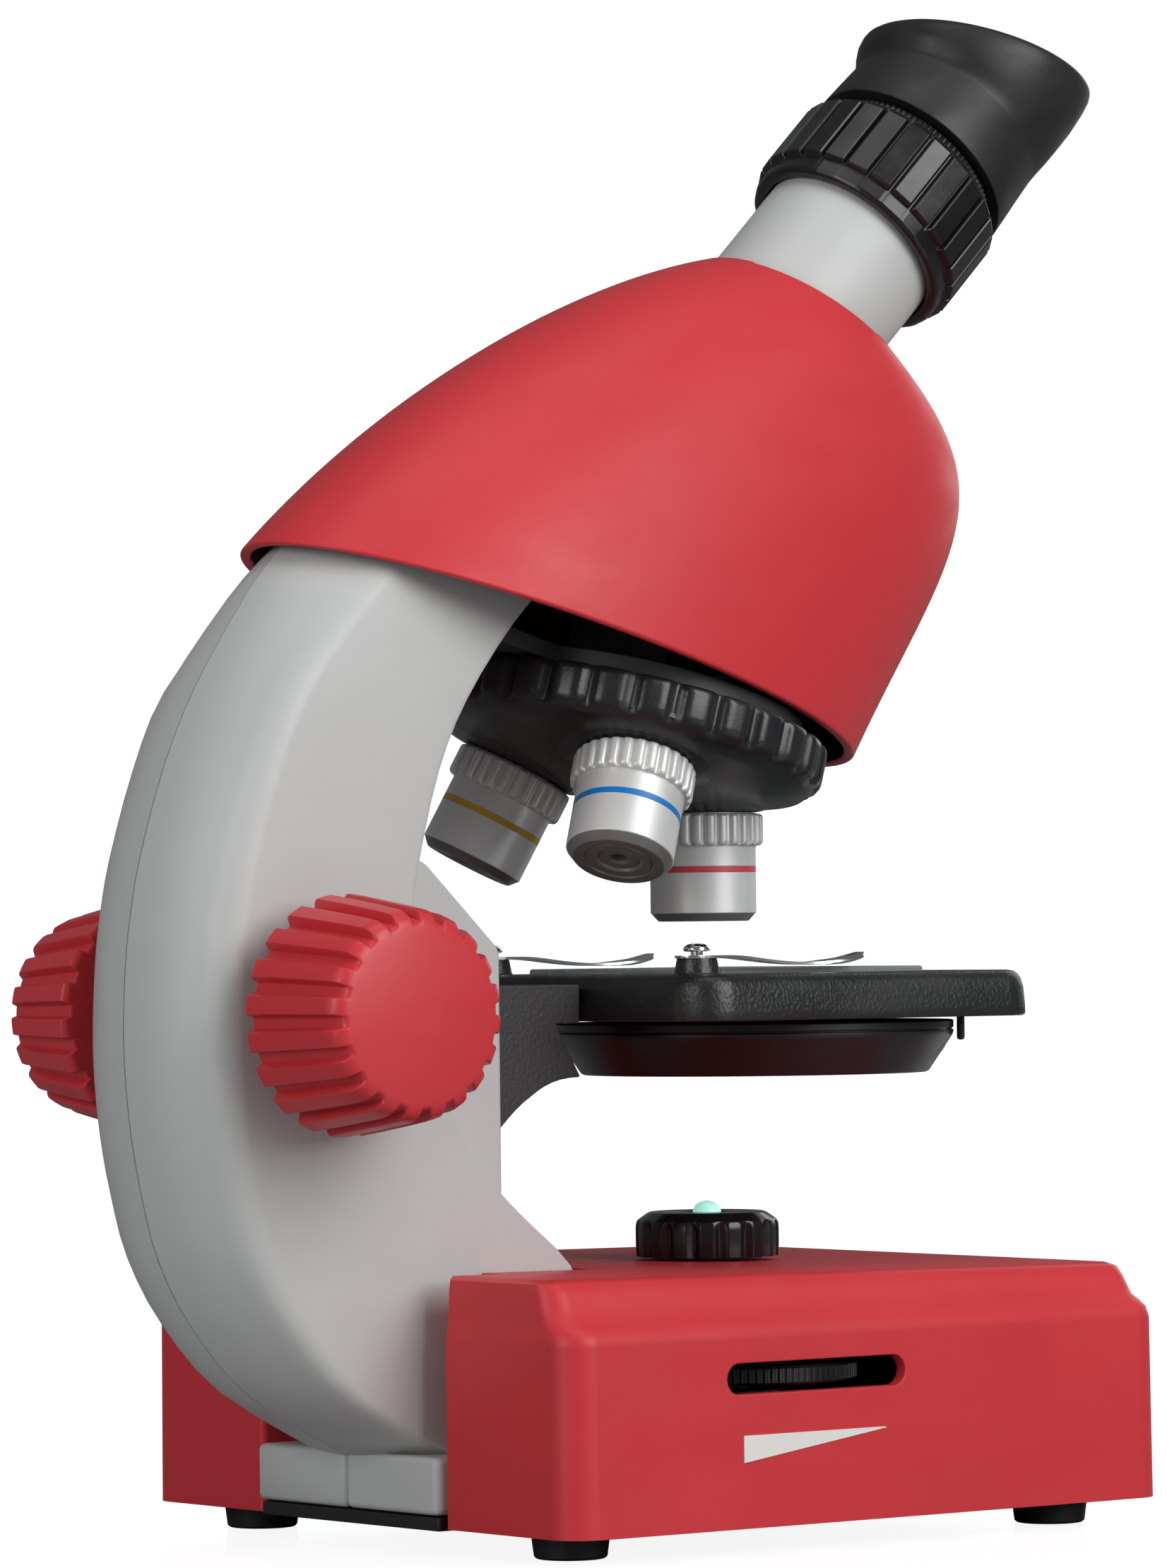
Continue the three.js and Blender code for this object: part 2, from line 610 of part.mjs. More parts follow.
// Spring clip: a strip in side view that rises from the boss, dips and curls up at its tip.
const clipSide = [
  [4, 0], [-7, 0], [-11, -0.35], [-15, -0.9], [-21, -1.4],
  [-28, -1.5], [-33.6, -1.45], [-35.2, -1.1], [-38.3, 0.25],
];
function makeClip() {
  const strip = 0.5;
  const lower = clipSide.map(([y, z]) => new THREE.Vector2(y, z));
  const upper = clipSide.map(([y, z]) => new THREE.Vector2(y, z + strip)).reverse();
  const blank = raised(new THREE.Shape([...lower, ...upper]), -4, 4, 0, 1);
  blank.rotateX(Math.PI / 2).rotateZ(Math.PI / 2);
  const plan = outline([
    [-3.9, 4, 3], [3.9, 4, 3], [2.1, -24, 0], [3.3, -34.5, 0],
    [1.6, -38.7, 0], [-1.6, -38.7, 0], [-3.3, -34.5, 0], [-2.1, -24, 0],
  ].reverse());
  const trimmed = common(blank, raised(plan, -6, 6, 0, 3));
  return cut(trimmed, disc(1.6, -4, 4, 10));
}
const clipBase = boss.top + gap;
for (const [name, side] of [["left", -1], ["right", 1]]) {
  piece(`stage_clip_${name}`, makeClip().translate(side * boss.x, boss.y, clipBase), steel);
  const screw = turned([
    [0, 100], [1.15, 100], [1.15, clipBase + 0.5 + gap], [2.4, clipBase + 0.5 + gap],
    [2.3, clipBase + 1.4], [1.4, clipBase + 1.9], [0, clipBase + 2.1],
  ], 12);
  piece(`clip_screw_${name}`, screw.translate(side * boss.x, boss.y, 0), steel);
}

function makeWheel() {
  const profile = [
    [0, wheel.recess], [4.4, wheel.recess], [4.4, wheel.bottom],
    [wheel.bottomRadius, wheel.bottom], [wheel.topRadius, 89],
    [wheel.topRadius, wheel.top], [33.6, wheel.top], [30.4, 84.2], [3.6, 84.2],
    [3.6, wheel.top], [0, wheel.top],
  ];
  const holes = [];
  for (let i = 0; i < 6; i++) {
    const angle = Math.PI / 2 + (i * Math.PI) / 3;
    const radius = 1.5 + i * 0.6;
    const reach = opticalAxisY - wheel.y;
    holes.push(disc(radius, 80, 95, 10).translate(reach * Math.cos(angle), reach * Math.sin(angle), 0));
  }
  return cut(turned(profile, 28), disc(1.9, 80, 95, 8), ...holes).translate(0, wheel.y, 0);
}
piece("diaphragm_wheel", makeWheel(), blackPlastic);
const wheelScrew = turned([
  [0, 81.9], [3.7, 81.9], [4, 82.2], [4, wheel.recess - gap], [1.6, wheel.recess - gap],
  [1.6, 96.2], [0, 96.2],
], 12);
piece("wheel_screw", wheelScrew.translate(0, wheel.y, 0), steel);

// ---------- head: turret, objectives, hood ----------
const head = new THREE.Group();
head.position.set(0, opticalAxisY, turret.apexHeight);
head.rotation.x = THREE.MathUtils.degToRad(turret.tilt);
stand.add(head);

const splay = THREE.MathUtils.degToRad(turret.tilt);
function onObjectiveAxis(geometry, index) {
  return geometry.rotateX(-splay).rotateZ((index * 2 * Math.PI) / 3);
}

// The turret's underside is a shallow cone, square to the objectives that stand on it.
function coneHeight(radius) {
  const shoulderRadius = -objective.shoulder * Math.sin(splay);
  return objective.shoulder * Math.cos(splay) + (radius - shoulderRadius) * Math.tan(splay) + gap;
}

function makeTurret() {
  const { rimRadius, rimTop, rimBottom, flutes } = turret;
  const lip = rimRadius - 1.3;
  const flat = 5;
  const floor = 2.6;
  const band = fluted(rimRadius, lip, flutes, rimBottom, rimTop);
  const bowl = turned([
    [0, coneHeight(flat)], [flat, coneHeight(flat)], [lip - 0.4, coneHeight(lip - 0.4)],
    [lip, rimBottom], [lip, rimTop], [0, rimTop],
  ], flutes);
  const hollow = turned([
    [0, coneHeight(flat) + floor], [flat, coneHeight(flat) + floor], [lip - 3, coneHeight(lip - 3) + floor],
    [lip - 3, rimTop + 1], [0, rimTop + 1],
  ], 24);
  const hub = disc(6, coneHeight(flat) + 0.6, rimTop, 12);
  const bores = [0, 1, 2].map((i) => onObjectiveAxis(disc(8.3, -80, -66, 16), i));
  return cut(join(cut(join(band, bowl), hollow), hub), disc(2.8, -80, -50, 12), ...bores);
}
piece("turret_disc", makeTurret(), blackPlastic, head);

const objectiveNames = ["low", "middle", "high"];
for (const [i, name] of objectiveNames.entries()) {
  const { shoulder, tip, knurlRadius, bodyRadius } = objective;
  const bore = turned([[0, tip - 1], [1.6, tip - 1], [1.6, -88.6], [4.4, -88.6], [4.4, -60], [0, -60]], 8);
  const body = turned([
    [0, tip], [bodyRadius - 1.5, tip], [bodyRadius, tip + 1.5], [bodyRadius, shoulder - 6.1],
    [10.2, shoulder - 6.1], [10.2, shoulder], [8, shoulder], [8, shoulder + 5], [0, shoulder + 5],
  ], 16);
  const knurl = fluted(knurlRadius, 10.3, 16, shoulder - 6.1, shoulder - gap);
  piece(`objective_${name}`, onObjectiveAxis(cut(join(body, knurl), bore), i), satinSilver, head);
  const lens = turned([[0, -88.2], [2.4, -88.2], [4, -87.6], [4, -86.4], [2.4, -85.9], [0, -85.8]], 12);
  piece(`objective_lens_${name}`, onObjectiveAxis(lens, i), clear, head);
}

const pivot = turned([
  [0, -77.9], [3.6, -77.9], [4.6, -76.9], [4.6, -75.9], [2.4, -75.9], [2.4, -53.4], [0, -53.4],
], 12);
piece("turret_pivot", pivot, steel, head);

function makeHeadPlate() {
  const plate = disc(31, -57.2, -54.2, 28);
  const tongue = block(-12, 12, 20, 43, -57.2, -54.2);
  const lightPath = disc(7, -70, -40, 16).translate(0, -16.2, 0);
  return cut(join(plate, tongue), disc(2.75, -70, -40, 12), lightPath);
}
piece("head_plate", makeHeadPlate(), greyPlastic, head);

// The hood is one moulded shell: oval rings that shrink from the open rim to the eyepiece.
// Its rear and front edges in side view are cubic curves through [y, z] control points.
const hoodRear = [[-3.4, 177.2], [-31.4, 204.5], [-74.1, 227], [-106.3, 232.8]];
const hoodFront = [[-131.7, 138.4], [-152.8, 172.4], [-175.4, 188.7], [-145.7, 208.2]];
const hoodHalfWidth = [36.8, 34, 27.6, 19.8];
const hoodWall = { rim: 2.2, neck: 1.6 };

function cubic(a, b, c, d, u) {
  const v = 1 - u;
  return v ** 3 * a + 3 * v * v * u * b + 3 * v * u * u * c + u ** 3 * d;
}

function hoodRing(u, inset, points) {
  const rear = [0, 1].map((k) => cubic(...hoodRear.map((q) => q[k]), u));
  const front = [0, 1].map((k) => cubic(...hoodFront.map((q) => q[k]), u));
  const width = cubic(...hoodHalfWidth, u) - inset;
  const middle = [(rear[0] + front[0]) / 2, (rear[1] + front[1]) / 2];
  const length = Math.hypot(rear[0] - front[0], rear[1] - front[1]) / 2;
  const reach = (length - inset) / length;
  const ring = [];
  for (let k = 0; k < points; k++) {
    const angle = (2 * Math.PI * k) / points;
    const along = Math.sin(angle) * reach;
    const y = middle[0] + ((rear[0] - front[0]) / 2) * along;
    const z = middle[1] + ((rear[1] - front[1]) / 2) * along;
    ring.push(new THREE.Vector3(width * Math.cos(angle), y, z));
  }
  return ring;
}

function makeHood() {
  const steps = 10;
  const points = 28;
  const rings = [];
  for (let i = 0; i <= steps; i++) rings.push(hoodRing(i / steps, 0, points));
  for (let i = steps; i >= 0; i--) {
    const thickness = THREE.MathUtils.lerp(hoodWall.rim, hoodWall.neck, i / steps);
    rings.push(hoodRing(i / steps, thickness, points));
  }
  return skin(rings, true);
}
piece("head_hood", makeHood(), redPlastic);

// ---------- eyepiece ----------
const ocular = new THREE.Group();
ocular.position.set(0, eyepiece.y, eyepiece.height);
ocular.rotation.x = THREE.MathUtils.degToRad(eyepiece.tilt);
stand.add(ocular);

const { tubeRadius } = eyepiece;
piece("eyepiece_tube", tube(tubeRadius, tubeRadius - 2.1, -38, 4, 32), greyPlastic, ocular);
const ringBore = tubeRadius + 0.5;
const collar = turned([
  [ringBore, ring.start + 0.4], [19.6, ring.start], [20.4, ring.start + 0.8], [20.4, ring.end - 1],
  [19.9, ring.end], [14.6, ring.end], [14.6, 4.6], [ringBore, 4.6], [ringBore, ring.start + 0.4],
], ring.ribs);
const ribbed = fluted(ring.radius + 0.5, ring.radius - 0.4, ring.ribs, 1.2, ring.end - 1.2, 0.62);
const grip = cut(ribbed, disc(19, 0, 20, ring.ribs));
piece("zoom_ring", join(collar, grip), blackPlastic, ocular);

piece("zoom_lens_cell", tube(11.8, 9.9, -12, 3.4, 20), blackPlastic, ocular);
const zoomLens = turned([[0, -8.4], [6, -7.6], [9.5, -6.4], [9.5, -4.4], [6, -3.2], [0, -2.4]], 16);
piece("zoom_lens", zoomLens, clear, ocular);

const holderBody = turned([
  [12.4, -17], [15, -17], [15, -14], [14.2, -14], [14.2, ring.end + gap],
  [18.6, ring.end + gap], [18.6, 19.6], [16.4, 19.6], [16.4, 26], [12.4, 26], [12.4, -17],
], 20);
piece("eye_lens_holder", holderBody, blackPlastic, ocular);
const eyeLens = turned([[0, 17], [8, 18], [11.9, 19.6], [11.9, 21.6], [8, 23], [0, 23.8]], 16);
piece("eye_lens", eyeLens, clear, ocular);

// Rubber eyecup: a sleeve, then a flare whose rim leans towards the user's cheek.
function makeEyecup() {
  const points = 24;
  function cupRing(height, lean, radiusY, radiusX, shiftY) {
    const list = [];
    for (let k = 0; k < points; k++) {
      const angle = (2 * Math.PI * k) / points;
      const y = shiftY + radiusY * Math.sin(angle);
      list.push(new THREE.Vector3(radiusX * Math.cos(angle), y, height + lean * (y - shiftY)));
    }
    return list;
  }
  const rimLean = -Math.tan(THREE.MathUtils.degToRad(24.5));
  const rings = [
    cupRing(19.9, 0, 20.2, 20.2, 0),
    cupRing(33.2, -0.06, 19.6, 19.6, 0),
    cupRing(41, -0.28, 20.1, 21, 1),
    cupRing(47.8, rimLean, 20, 22.4, 1.8),
    cupRing(47.6, rimLean, 18.4, 20.7, 1.8),
    cupRing(40.4, -0.28, 18.2, 19, 1),
    cupRing(33, -0.06, 17.4, 17.4, 0),
    cupRing(19.9, 0, 16.9, 16.9, 0),
  ];
  return skin(rings, true);
}
piece("eyecup", makeEyecup(), blackRubber, ocular);

// ---------- prism ----------
const prismCorners = [[-13, -13], [13, -13], [-13, 13]];
const prismShape = new THREE.Shape(prismCorners.map(([y, z]) => new THREE.Vector2(y, z)));
const prismBlock = raised(prismShape, -11, 11, 0, 1).rotateX(Math.PI / 2).rotateZ(Math.PI / 2);
const prismPlace = { y: -98, height: 199 };
piece("prism", prismBlock.translate(0, prismPlace.y, prismPlace.height), clear);

// The holder stands on the head plate, open to the eyepiece tube and to the light from below.
function makePrismHolder() {
  const outside = block(-14, 14, -108, -82.6, 154.5, 213);
  const room = block(-11.3, 11.3, -120, -84.7, prismPlace.height - 13.3, 230);
  const lightPath = disc(8, 140, 200, 16).translate(0, opticalAxisY, 0);
  const tubeRoom = disc(tubeRadius + gap, -38.4, 20, 24).rotateX(ocular.rotation.x);
  tubeRoom.translate(0, eyepiece.y, eyepiece.height);
  return cut(outside, room, lightPath, tubeRoom);
}
piece("prism_holder", makePrismHolder(), blackPlastic);

export default model;
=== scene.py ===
import json
import math

import bmesh
import bpy
from mathutils import Matrix, Vector

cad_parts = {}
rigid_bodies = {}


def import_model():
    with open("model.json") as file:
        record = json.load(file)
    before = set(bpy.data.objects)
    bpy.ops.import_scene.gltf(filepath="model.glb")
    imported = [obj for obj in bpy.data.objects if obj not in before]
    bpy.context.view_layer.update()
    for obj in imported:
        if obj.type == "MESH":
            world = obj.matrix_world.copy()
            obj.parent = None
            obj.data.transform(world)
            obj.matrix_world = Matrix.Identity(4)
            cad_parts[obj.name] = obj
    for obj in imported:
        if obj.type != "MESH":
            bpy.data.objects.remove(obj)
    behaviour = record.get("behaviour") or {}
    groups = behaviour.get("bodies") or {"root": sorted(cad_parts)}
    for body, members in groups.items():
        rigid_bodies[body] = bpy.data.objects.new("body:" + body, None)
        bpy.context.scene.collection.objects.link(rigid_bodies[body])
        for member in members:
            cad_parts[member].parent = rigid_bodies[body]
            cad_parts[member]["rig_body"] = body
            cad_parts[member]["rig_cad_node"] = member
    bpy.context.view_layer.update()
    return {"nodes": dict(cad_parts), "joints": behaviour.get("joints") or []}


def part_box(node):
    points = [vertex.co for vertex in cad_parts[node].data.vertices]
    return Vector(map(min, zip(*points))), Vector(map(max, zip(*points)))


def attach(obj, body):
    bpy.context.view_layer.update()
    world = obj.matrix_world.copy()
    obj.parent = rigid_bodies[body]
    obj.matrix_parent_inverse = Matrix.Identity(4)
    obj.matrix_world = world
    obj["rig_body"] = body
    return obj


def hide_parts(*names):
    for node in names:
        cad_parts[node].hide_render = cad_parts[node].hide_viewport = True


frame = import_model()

bpy.ops.object.select_all(action="DESELECT")

# Camera: a long lens a little behind the left side of the microscope, level with the
# foot of the arm and looking slightly up, so that the head leans over the viewer.
camera_place = Vector((-1.00659, 0.78804, 0.10741))
camera_aim = Vector((0.79041, -0.61219, 0.02182)).normalized()
camera_roll = math.radians(-0.646)
level_right = camera_aim.cross(Vector((0, 0, 1))).normalized()
level_up = level_right.cross(camera_aim)
right = level_right * math.cos(camera_roll) + level_up * math.sin(camera_roll)
up = right.cross(camera_aim)
bpy.ops.object.camera_add()
camera = bpy.context.object
camera.matrix_world = Matrix((
    (right.x, up.x, -camera_aim.x, camera_place.x),
    (right.y, up.y, -camera_aim.y, camera_place.y),
    (right.z, up.z, -camera_aim.z, camera_place.z),
    (0, 0, 0, 1),
))
camera.data.sensor_width = 36
camera.data.lens = 160.57
camera.data.clip_start = 0.05
bpy.context.scene.camera = camera

# Studio: a white table that mirrors faintly, a white room, one large soft box over the
# side of the microscope, a lower one behind it and a bright strip above the head.
bpy.context.scene.view_settings.view_transform = "Standard"
room = bpy.data.worlds.new("studio_room")
bpy.context.scene.world = room
room.use_nodes = True
room_nodes = room.node_tree.nodes
room_links = room.node_tree.links
room_light = room_nodes["Background"]
room_light.inputs["Color"].default_value = (0.93, 0.95, 1.0, 1)
room_light.inputs["Strength"].default_value = 0.15
room_white = room_nodes.new("ShaderNodeBackground")
room_white.inputs["Color"].default_value = (1, 1, 1, 1)
room_white.inputs["Strength"].default_value = 1.05
room_rays = room_nodes.new("ShaderNodeLightPath")
room_mix = room_nodes.new("ShaderNodeMixShader")
room_links.new(room_rays.outputs["Is Camera Ray"], room_mix.inputs["Fac"])
room_links.new(room_light.outputs[0], room_mix.inputs[1])
room_links.new(room_white.outputs[0], room_mix.inputs[2])
room_links.new(room_mix.outputs[0], room_nodes["World Output"].inputs["Surface"])


def soft_box(name, place, aim, width, height, power, tint=(1, 1, 1)):
    light = bpy.data.lights.new(name, "AREA")
    light.shape = "RECTANGLE"
    light.size = width
    light.size_y = height
    light.energy = power
    light.color = tint
    lamp = bpy.data.objects.new(name, light)
    bpy.context.scene.collection.objects.link(lamp)
    lamp.location = place
    lamp.rotation_euler = (Vector(aim) - Vector(place)).to_track_quat("-Z", "Y").to_euler()
    lamp.visible_camera = False
    return lamp


soft_box("side_box", (-1.3, -0.25, 0.75), (0, 0, 0.14), 0.9, 1.1, 16)
soft_box("back_box", (-0.25, 1.35, 0.5), (0, 0, 0.14), 0.6, 0.9, 6.2)
soft_box("top_box", (-0.2, 0.1, 1.3), (0, 0, 0.1), 0.9, 0.6, 2.4)
soft_box("front_box", (0.5, -1.3, 0.6), (0, 0, 0.15), 0.7, 0.9, 2.8)

bpy.ops.mesh.primitive_plane_add(size=12)
table = bpy.context.object
table.name = "studio_table"
table_white = bpy.data.materials.new("table_white")
table_white.use_nodes = True
table_shader = table_white.node_tree.nodes["Principled BSDF"]
table_shader.inputs["Base Color"].default_value = (0.3, 0.3, 0.305, 1)
table_shader.inputs["Roughness"].default_value = 0.1
table_shader.inputs["Emission Color"].default_value = (1, 1, 1, 1)
table_rays = table_white.node_tree.nodes.new("ShaderNodeLightPath")
table_glow = table_white.node_tree.nodes.new("ShaderNodeMath")
table_glow.operation = "MULTIPLY"
table_glow.inputs[1].default_value = 0.9
table_white.node_tree.links.new(table_rays.outputs["Is Camera Ray"], table_glow.inputs[0])
table_white.node_tree.links.new(table_glow.outputs[0], table_shader.inputs["Emission Strength"])
table.data.materials.append(table_white)
bpy.ops.object.select_all(action="DESELECT")

# Base shell: one hollow red ABS moulding with a softly stepped top. It is open below and
# at the back, where the arm's foot stands, and a thumb slot is cut through its left side.
MM = 0.001


def to_mm(vector):
    return Vector(vector) / MM


def node_box(node):
    low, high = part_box(node)
    return to_mm(low), to_mm(high)


def edited():
    mesh = bmesh.from_edit_mesh(bpy.context.edit_object.data)
    mesh.verts.ensure_lookup_table()
    return mesh


def start(name):
    """An empty mesh under this name, open for editing."""
    bpy.ops.object.select_all(action="DESELECT")
    bpy.ops.mesh.primitive_plane_add(size=MM)
    piece = bpy.context.object
    piece.name = name
    bpy.ops.object.mode_set(mode="EDIT")
    bpy.ops.mesh.delete(type="VERT")
    return piece


def pick(test, kind="VERT"):
    """Selects only the vertices, edges or faces whose middle, in mm, passes the test."""
    bpy.ops.mesh.select_mode(type=kind)
    bpy.ops.mesh.select_all(action="DESELECT")
    mesh = edited()
    for part in {"VERT": mesh.verts, "EDGE": mesh.edges, "FACE": mesh.faces}[kind]:
        corners = [part.co] if kind == "VERT" else [v.co for v in part.verts]
        if test(sum(corners, Vector()) / len(corners) / MM):
            part.select_set(True)
    mesh.select_flush(True)
    bmesh.update_edit_mesh(bpy.context.edit_object.data)


def pick_numbers(numbers):
    """Selects vertices by the order in which they were made."""
    bpy.ops.mesh.select_mode(type="VERT")
    bpy.ops.mesh.select_all(action="DESELECT")
    mesh = edited()
    for number in numbers:
        mesh.verts[number].select_set(True)
    mesh.select_flush(True)
    bmesh.update_edit_mesh(bpy.context.edit_object.data)


def move(x=0, y=0, z=0):
    bpy.ops.transform.translate(value=(x * MM, y * MM, z * MM))


def stretch(x, y, z, about=(0, 0, 0)):
    bpy.ops.transform.resize(value=(x, y, z), center_override=Vector(about) * MM)


def pull(x=0, y=0, z=0):
    """Extrudes what is selected."""
    step = (x * MM, y * MM, z * MM)
    bpy.ops.mesh.extrude_region_move(TRANSFORM_OT_translate={"value": step})


def draw(points, close=False):
    """A chain of points in mm, each drawn out of the one before."""
    first = len(edited().verts)
    bpy.ops.mesh.select_mode(type="VERT")
    bpy.ops.mesh.select_all(action="DESELECT")
    bpy.ops.mesh.primitive_plane_add(size=MM, location=Vector(points[0]) * MM)
    bpy.ops.mesh.merge(type="CENTER")
    for before, after in zip(points, points[1:]):
        step = (Vector(after) - Vector(before)) * MM
        bpy.ops.mesh.extrude_vertices_move(TRANSFORM_OT_translate={"value": step})
    if close:
        pick_numbers([first, first + len(points) - 1])
        bpy.ops.mesh.edge_face_add()


def bridge(count, rings, cap_first=False, cap_last=False):
    """Joins rings of count points, made one after another, into a skin."""
    for ring in range(rings - 1):
        pick_numbers(range(ring * count, (ring + 2) * count))
        bpy.ops.mesh.bridge_edge_loops()
    for ring, wanted in ((0, cap_first), (rings - 1, cap_last)):
        if wanted:
            pick_numbers(range(ring * count, (ring + 1) * count))
            bpy.ops.mesh.edge_face_add()


def rounded_ring(corners, radius, count=40):
    """A circle whose quarters are drawn apart to four corners: ++, -+, -- and +-."""
    first = len(edited().verts)
    bpy.ops.mesh.select_all(action="DESELECT")
    bpy.ops.mesh.primitive_circle_add(
        vertices=count, radius=radius * MM, rotation=(0, 0, math.pi / count)
    )
    places = [v.co.copy() for v in edited().verts[first:]]
    for side_x, side_y, corner in zip((1, -1, -1, 1), (1, 1, -1, -1), corners):
        quarter = [i for i, p in enumerate(places) if p.x * side_x > 0 and p.y * side_y > 0]
        pick_numbers([first + i for i in quarter])
        move(*corner)


def close_up(outwards=True):
    """Merges doubles, turns the faces outwards and leaves edit mode."""
    bpy.ops.mesh.select_all(action="SELECT")
    bpy.ops.mesh.remove_doubles(threshold=1e-6)
    if outwards:
        bpy.ops.mesh.normals_make_consistent(inside=False)
    bpy.ops.object.mode_set(mode="OBJECT")


def use_modifier(piece, kind, **settings):
    """Adds a modifier with these settings and applies it."""
    bpy.ops.object.select_all(action="DESELECT")
    piece.select_set(True)
    bpy.context.view_layer.objects.active = piece
    modifier = piece.modifiers.new(kind.lower(), kind)
    for setting, value in settings.items():
        setattr(modifier, setting, value)
    bpy.ops.object.modifier_apply(modifier=modifier.name)


def soften(piece, width, segments=3, angle=30):
    """Rounds every edge sharper than angle."""
    use_modifier(
        piece, "BEVEL", width=width * MM, segments=segments, limit_method="ANGLE",
        angle_limit=math.radians(angle), use_clamp_overlap=True, miter_outer="MITER_ARC",
    )


def shade(piece, angle=35, weighted=True):
    """Smooth shading that keeps edges sharper than angle, even over large flats."""
    bpy.ops.object.select_all(action="DESELECT")
    piece.select_set(True)
    bpy.context.view_layer.objects.active = piece
    bpy.ops.object.shade_smooth_by_angle(angle=math.radians(angle))
    if weighted:
        use_modifier(piece, "WEIGHTED_NORMAL", keep_sharp=True, weight=80)


def cut_away(piece, *tools):
    for tool in tools:
        use_modifier(piece, "BOOLEAN", operation="DIFFERENCE", object=tool, solver="EXACT")
        bpy.data.objects.remove(tool)


def add_on(piece, *others):
    for other in others:
        use_modifier(piece, "BOOLEAN", operation="UNION", object=other, solver="EXACT")
        bpy.data.objects.remove(other)


def join_up(piece, *others):
    """Makes one mesh of several bodies that touch."""
    bpy.ops.object.select_all(action="DESELECT")
    for part in (piece, *others):
        part.select_set(True)
    bpy.context.view_layer.objects.active = piece
    bpy.ops.object.join()


def bar(name, low, high, edge=0.0):
    """A square-cut block between two corners, its upright and level edges eased."""
    middle = (Vector(low) + Vector(high)) / 2
    size = Vector(high) - Vector(low)
    bpy.ops.object.select_all(action="DESELECT")
    bpy.ops.mesh.primitive_cube_add(size=1, location=middle * MM, scale=size * MM)
    piece = bpy.context.object
    piece.name = name
    bpy.ops.object.transform_apply(location=True, rotation=True, scale=True)
    if edge:
        soften(piece, edge)
    return piece


def done(piece, body, slot, material, *nodes):
    """Gives a finished piece its material and its body; it stands for these CAD nodes."""
    if material:
        piece.data.materials.clear()
        piece.data.materials.append(material)
    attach(piece, body)
    if nodes:
        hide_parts(*nodes)
    bpy.ops.object.select_all(action="DESELECT")


def moulded(name, colour, roughness, mottle=0.04, patch=22, gloss=0.07,
            grain=0.5, depth=0.006, streaks=0.0, **sockets):
    """Moulded plastic or cast metal: its tone drifts, its gloss wanders in patches with
    faint wipe marks, and its skin has a fine grain (grain and depth in mm)."""
    material = bpy.data.materials.new(name)
    material.use_nodes = True
    nodes = material.node_tree.nodes
    link = material.node_tree.links.new
    shader = nodes["Principled BSDF"]
    for socket, value in sockets.items():
        shader.inputs[socket.replace("_", " ")].default_value = value
    place = nodes.new("ShaderNodeTexCoord").outputs["Object"]
    tone = nodes.new("ShaderNodeTexNoise")
    tone.inputs["Scale"].default_value = patch
    tone.inputs["Detail"].default_value = 5
    link(place, tone.inputs["Vector"])
    ramp = nodes.new("ShaderNodeValToRGB")
    ramp.color_ramp.elements[0].position = 0.3
    ramp.color_ramp.elements[0].color = (*[c * (1 - mottle) for c in colour], 1)
    ramp.color_ramp.elements[1].position = 0.7
    ramp.color_ramp.elements[1].color = (*[min(1, c * (1 + mottle)) for c in colour], 1)
    link(tone.outputs["Fac"], ramp.inputs["Fac"])
    link(ramp.outputs["Color"], shader.inputs["Base Color"])
    wander = nodes.new("ShaderNodeTexNoise")
    wander.inputs["Scale"].default_value = 130
    wander.inputs["Detail"].default_value = 6
    wipe = nodes.new("ShaderNodeMapping")
    wipe.inputs["Scale"].default_value = (1, 0.35, 1)
    wipe.inputs["Rotation"].default_value = (0.5, 0.3, 0.7)
    link(place, wipe.inputs["Vector"])
    link(wipe.outputs["Vector"], wander.inputs["Vector"])
    spread = nodes.new("ShaderNodeMapRange")
    spread.inputs["From Min"].default_value = 0.3
    spread.inputs["From Max"].default_value = 0.7
    spread.inputs["To Min"].default_value = max(0.03, roughness - gloss)
    spread.inputs["To Max"].default_value = min(1, roughness + gloss)
    link(wander.outputs["Fac"], spread.inputs["Value"])
    link(spread.outputs["Result"], shader.inputs["Roughness"])
    pits = nodes.new("ShaderNodeTexNoise")
    pits.inputs["Scale"].default_value = 1 / (grain * MM)
    pits.inputs["Detail"].default_value = 3
    link(place, pits.inputs["Vector"])
    skin = nodes.new("ShaderNodeBump")
    skin.inputs["Strength"].default_value = 1
    skin.inputs["Distance"].default_value = depth * MM
    link(pits.outputs["Fac"], skin.inputs["Height"])
    if streaks:
        lines = nodes.new("ShaderNodeTexWave")
        lines.bands_direction = "Z"
        lines.inputs["Scale"].default_value = 1 / (streaks * MM) / 6.28
        lines.inputs["Distortion"].default_value = 1.5
        lines.inputs["Detail"].default_value = 2
        link(place, lines.inputs["Vector"])
        tooling = nodes.new("ShaderNodeBump")
        tooling.inputs["Strength"].default_value = 1
        tooling.inputs["Distance"].default_value = depth * MM * 0.5
        link(lines.outputs["Fac"], tooling.inputs["Height"])
        link(tooling.outputs["Normal"], skin.inputs["Normal"])
    link(skin.outputs["Normal"], shader.inputs["Normal"])
    return material


pivots = {j["name"]: to_mm(j["pos_m"]) for j in frame["joints"] if j.get("pos_m")}
red_abs = moulded("red_abs", (0.63, 0.04, 0.05), 0.42, mottle=0.04, grain=0.9, depth=0.004, Specular_IOR_Level=0.3)

base_low, base_high = node_box("base_shell")
slot_low, slot_high = node_box("dimmer_wheel")
base_wall = 2.4
base_radius = 6.6
shelf_top = 40.0
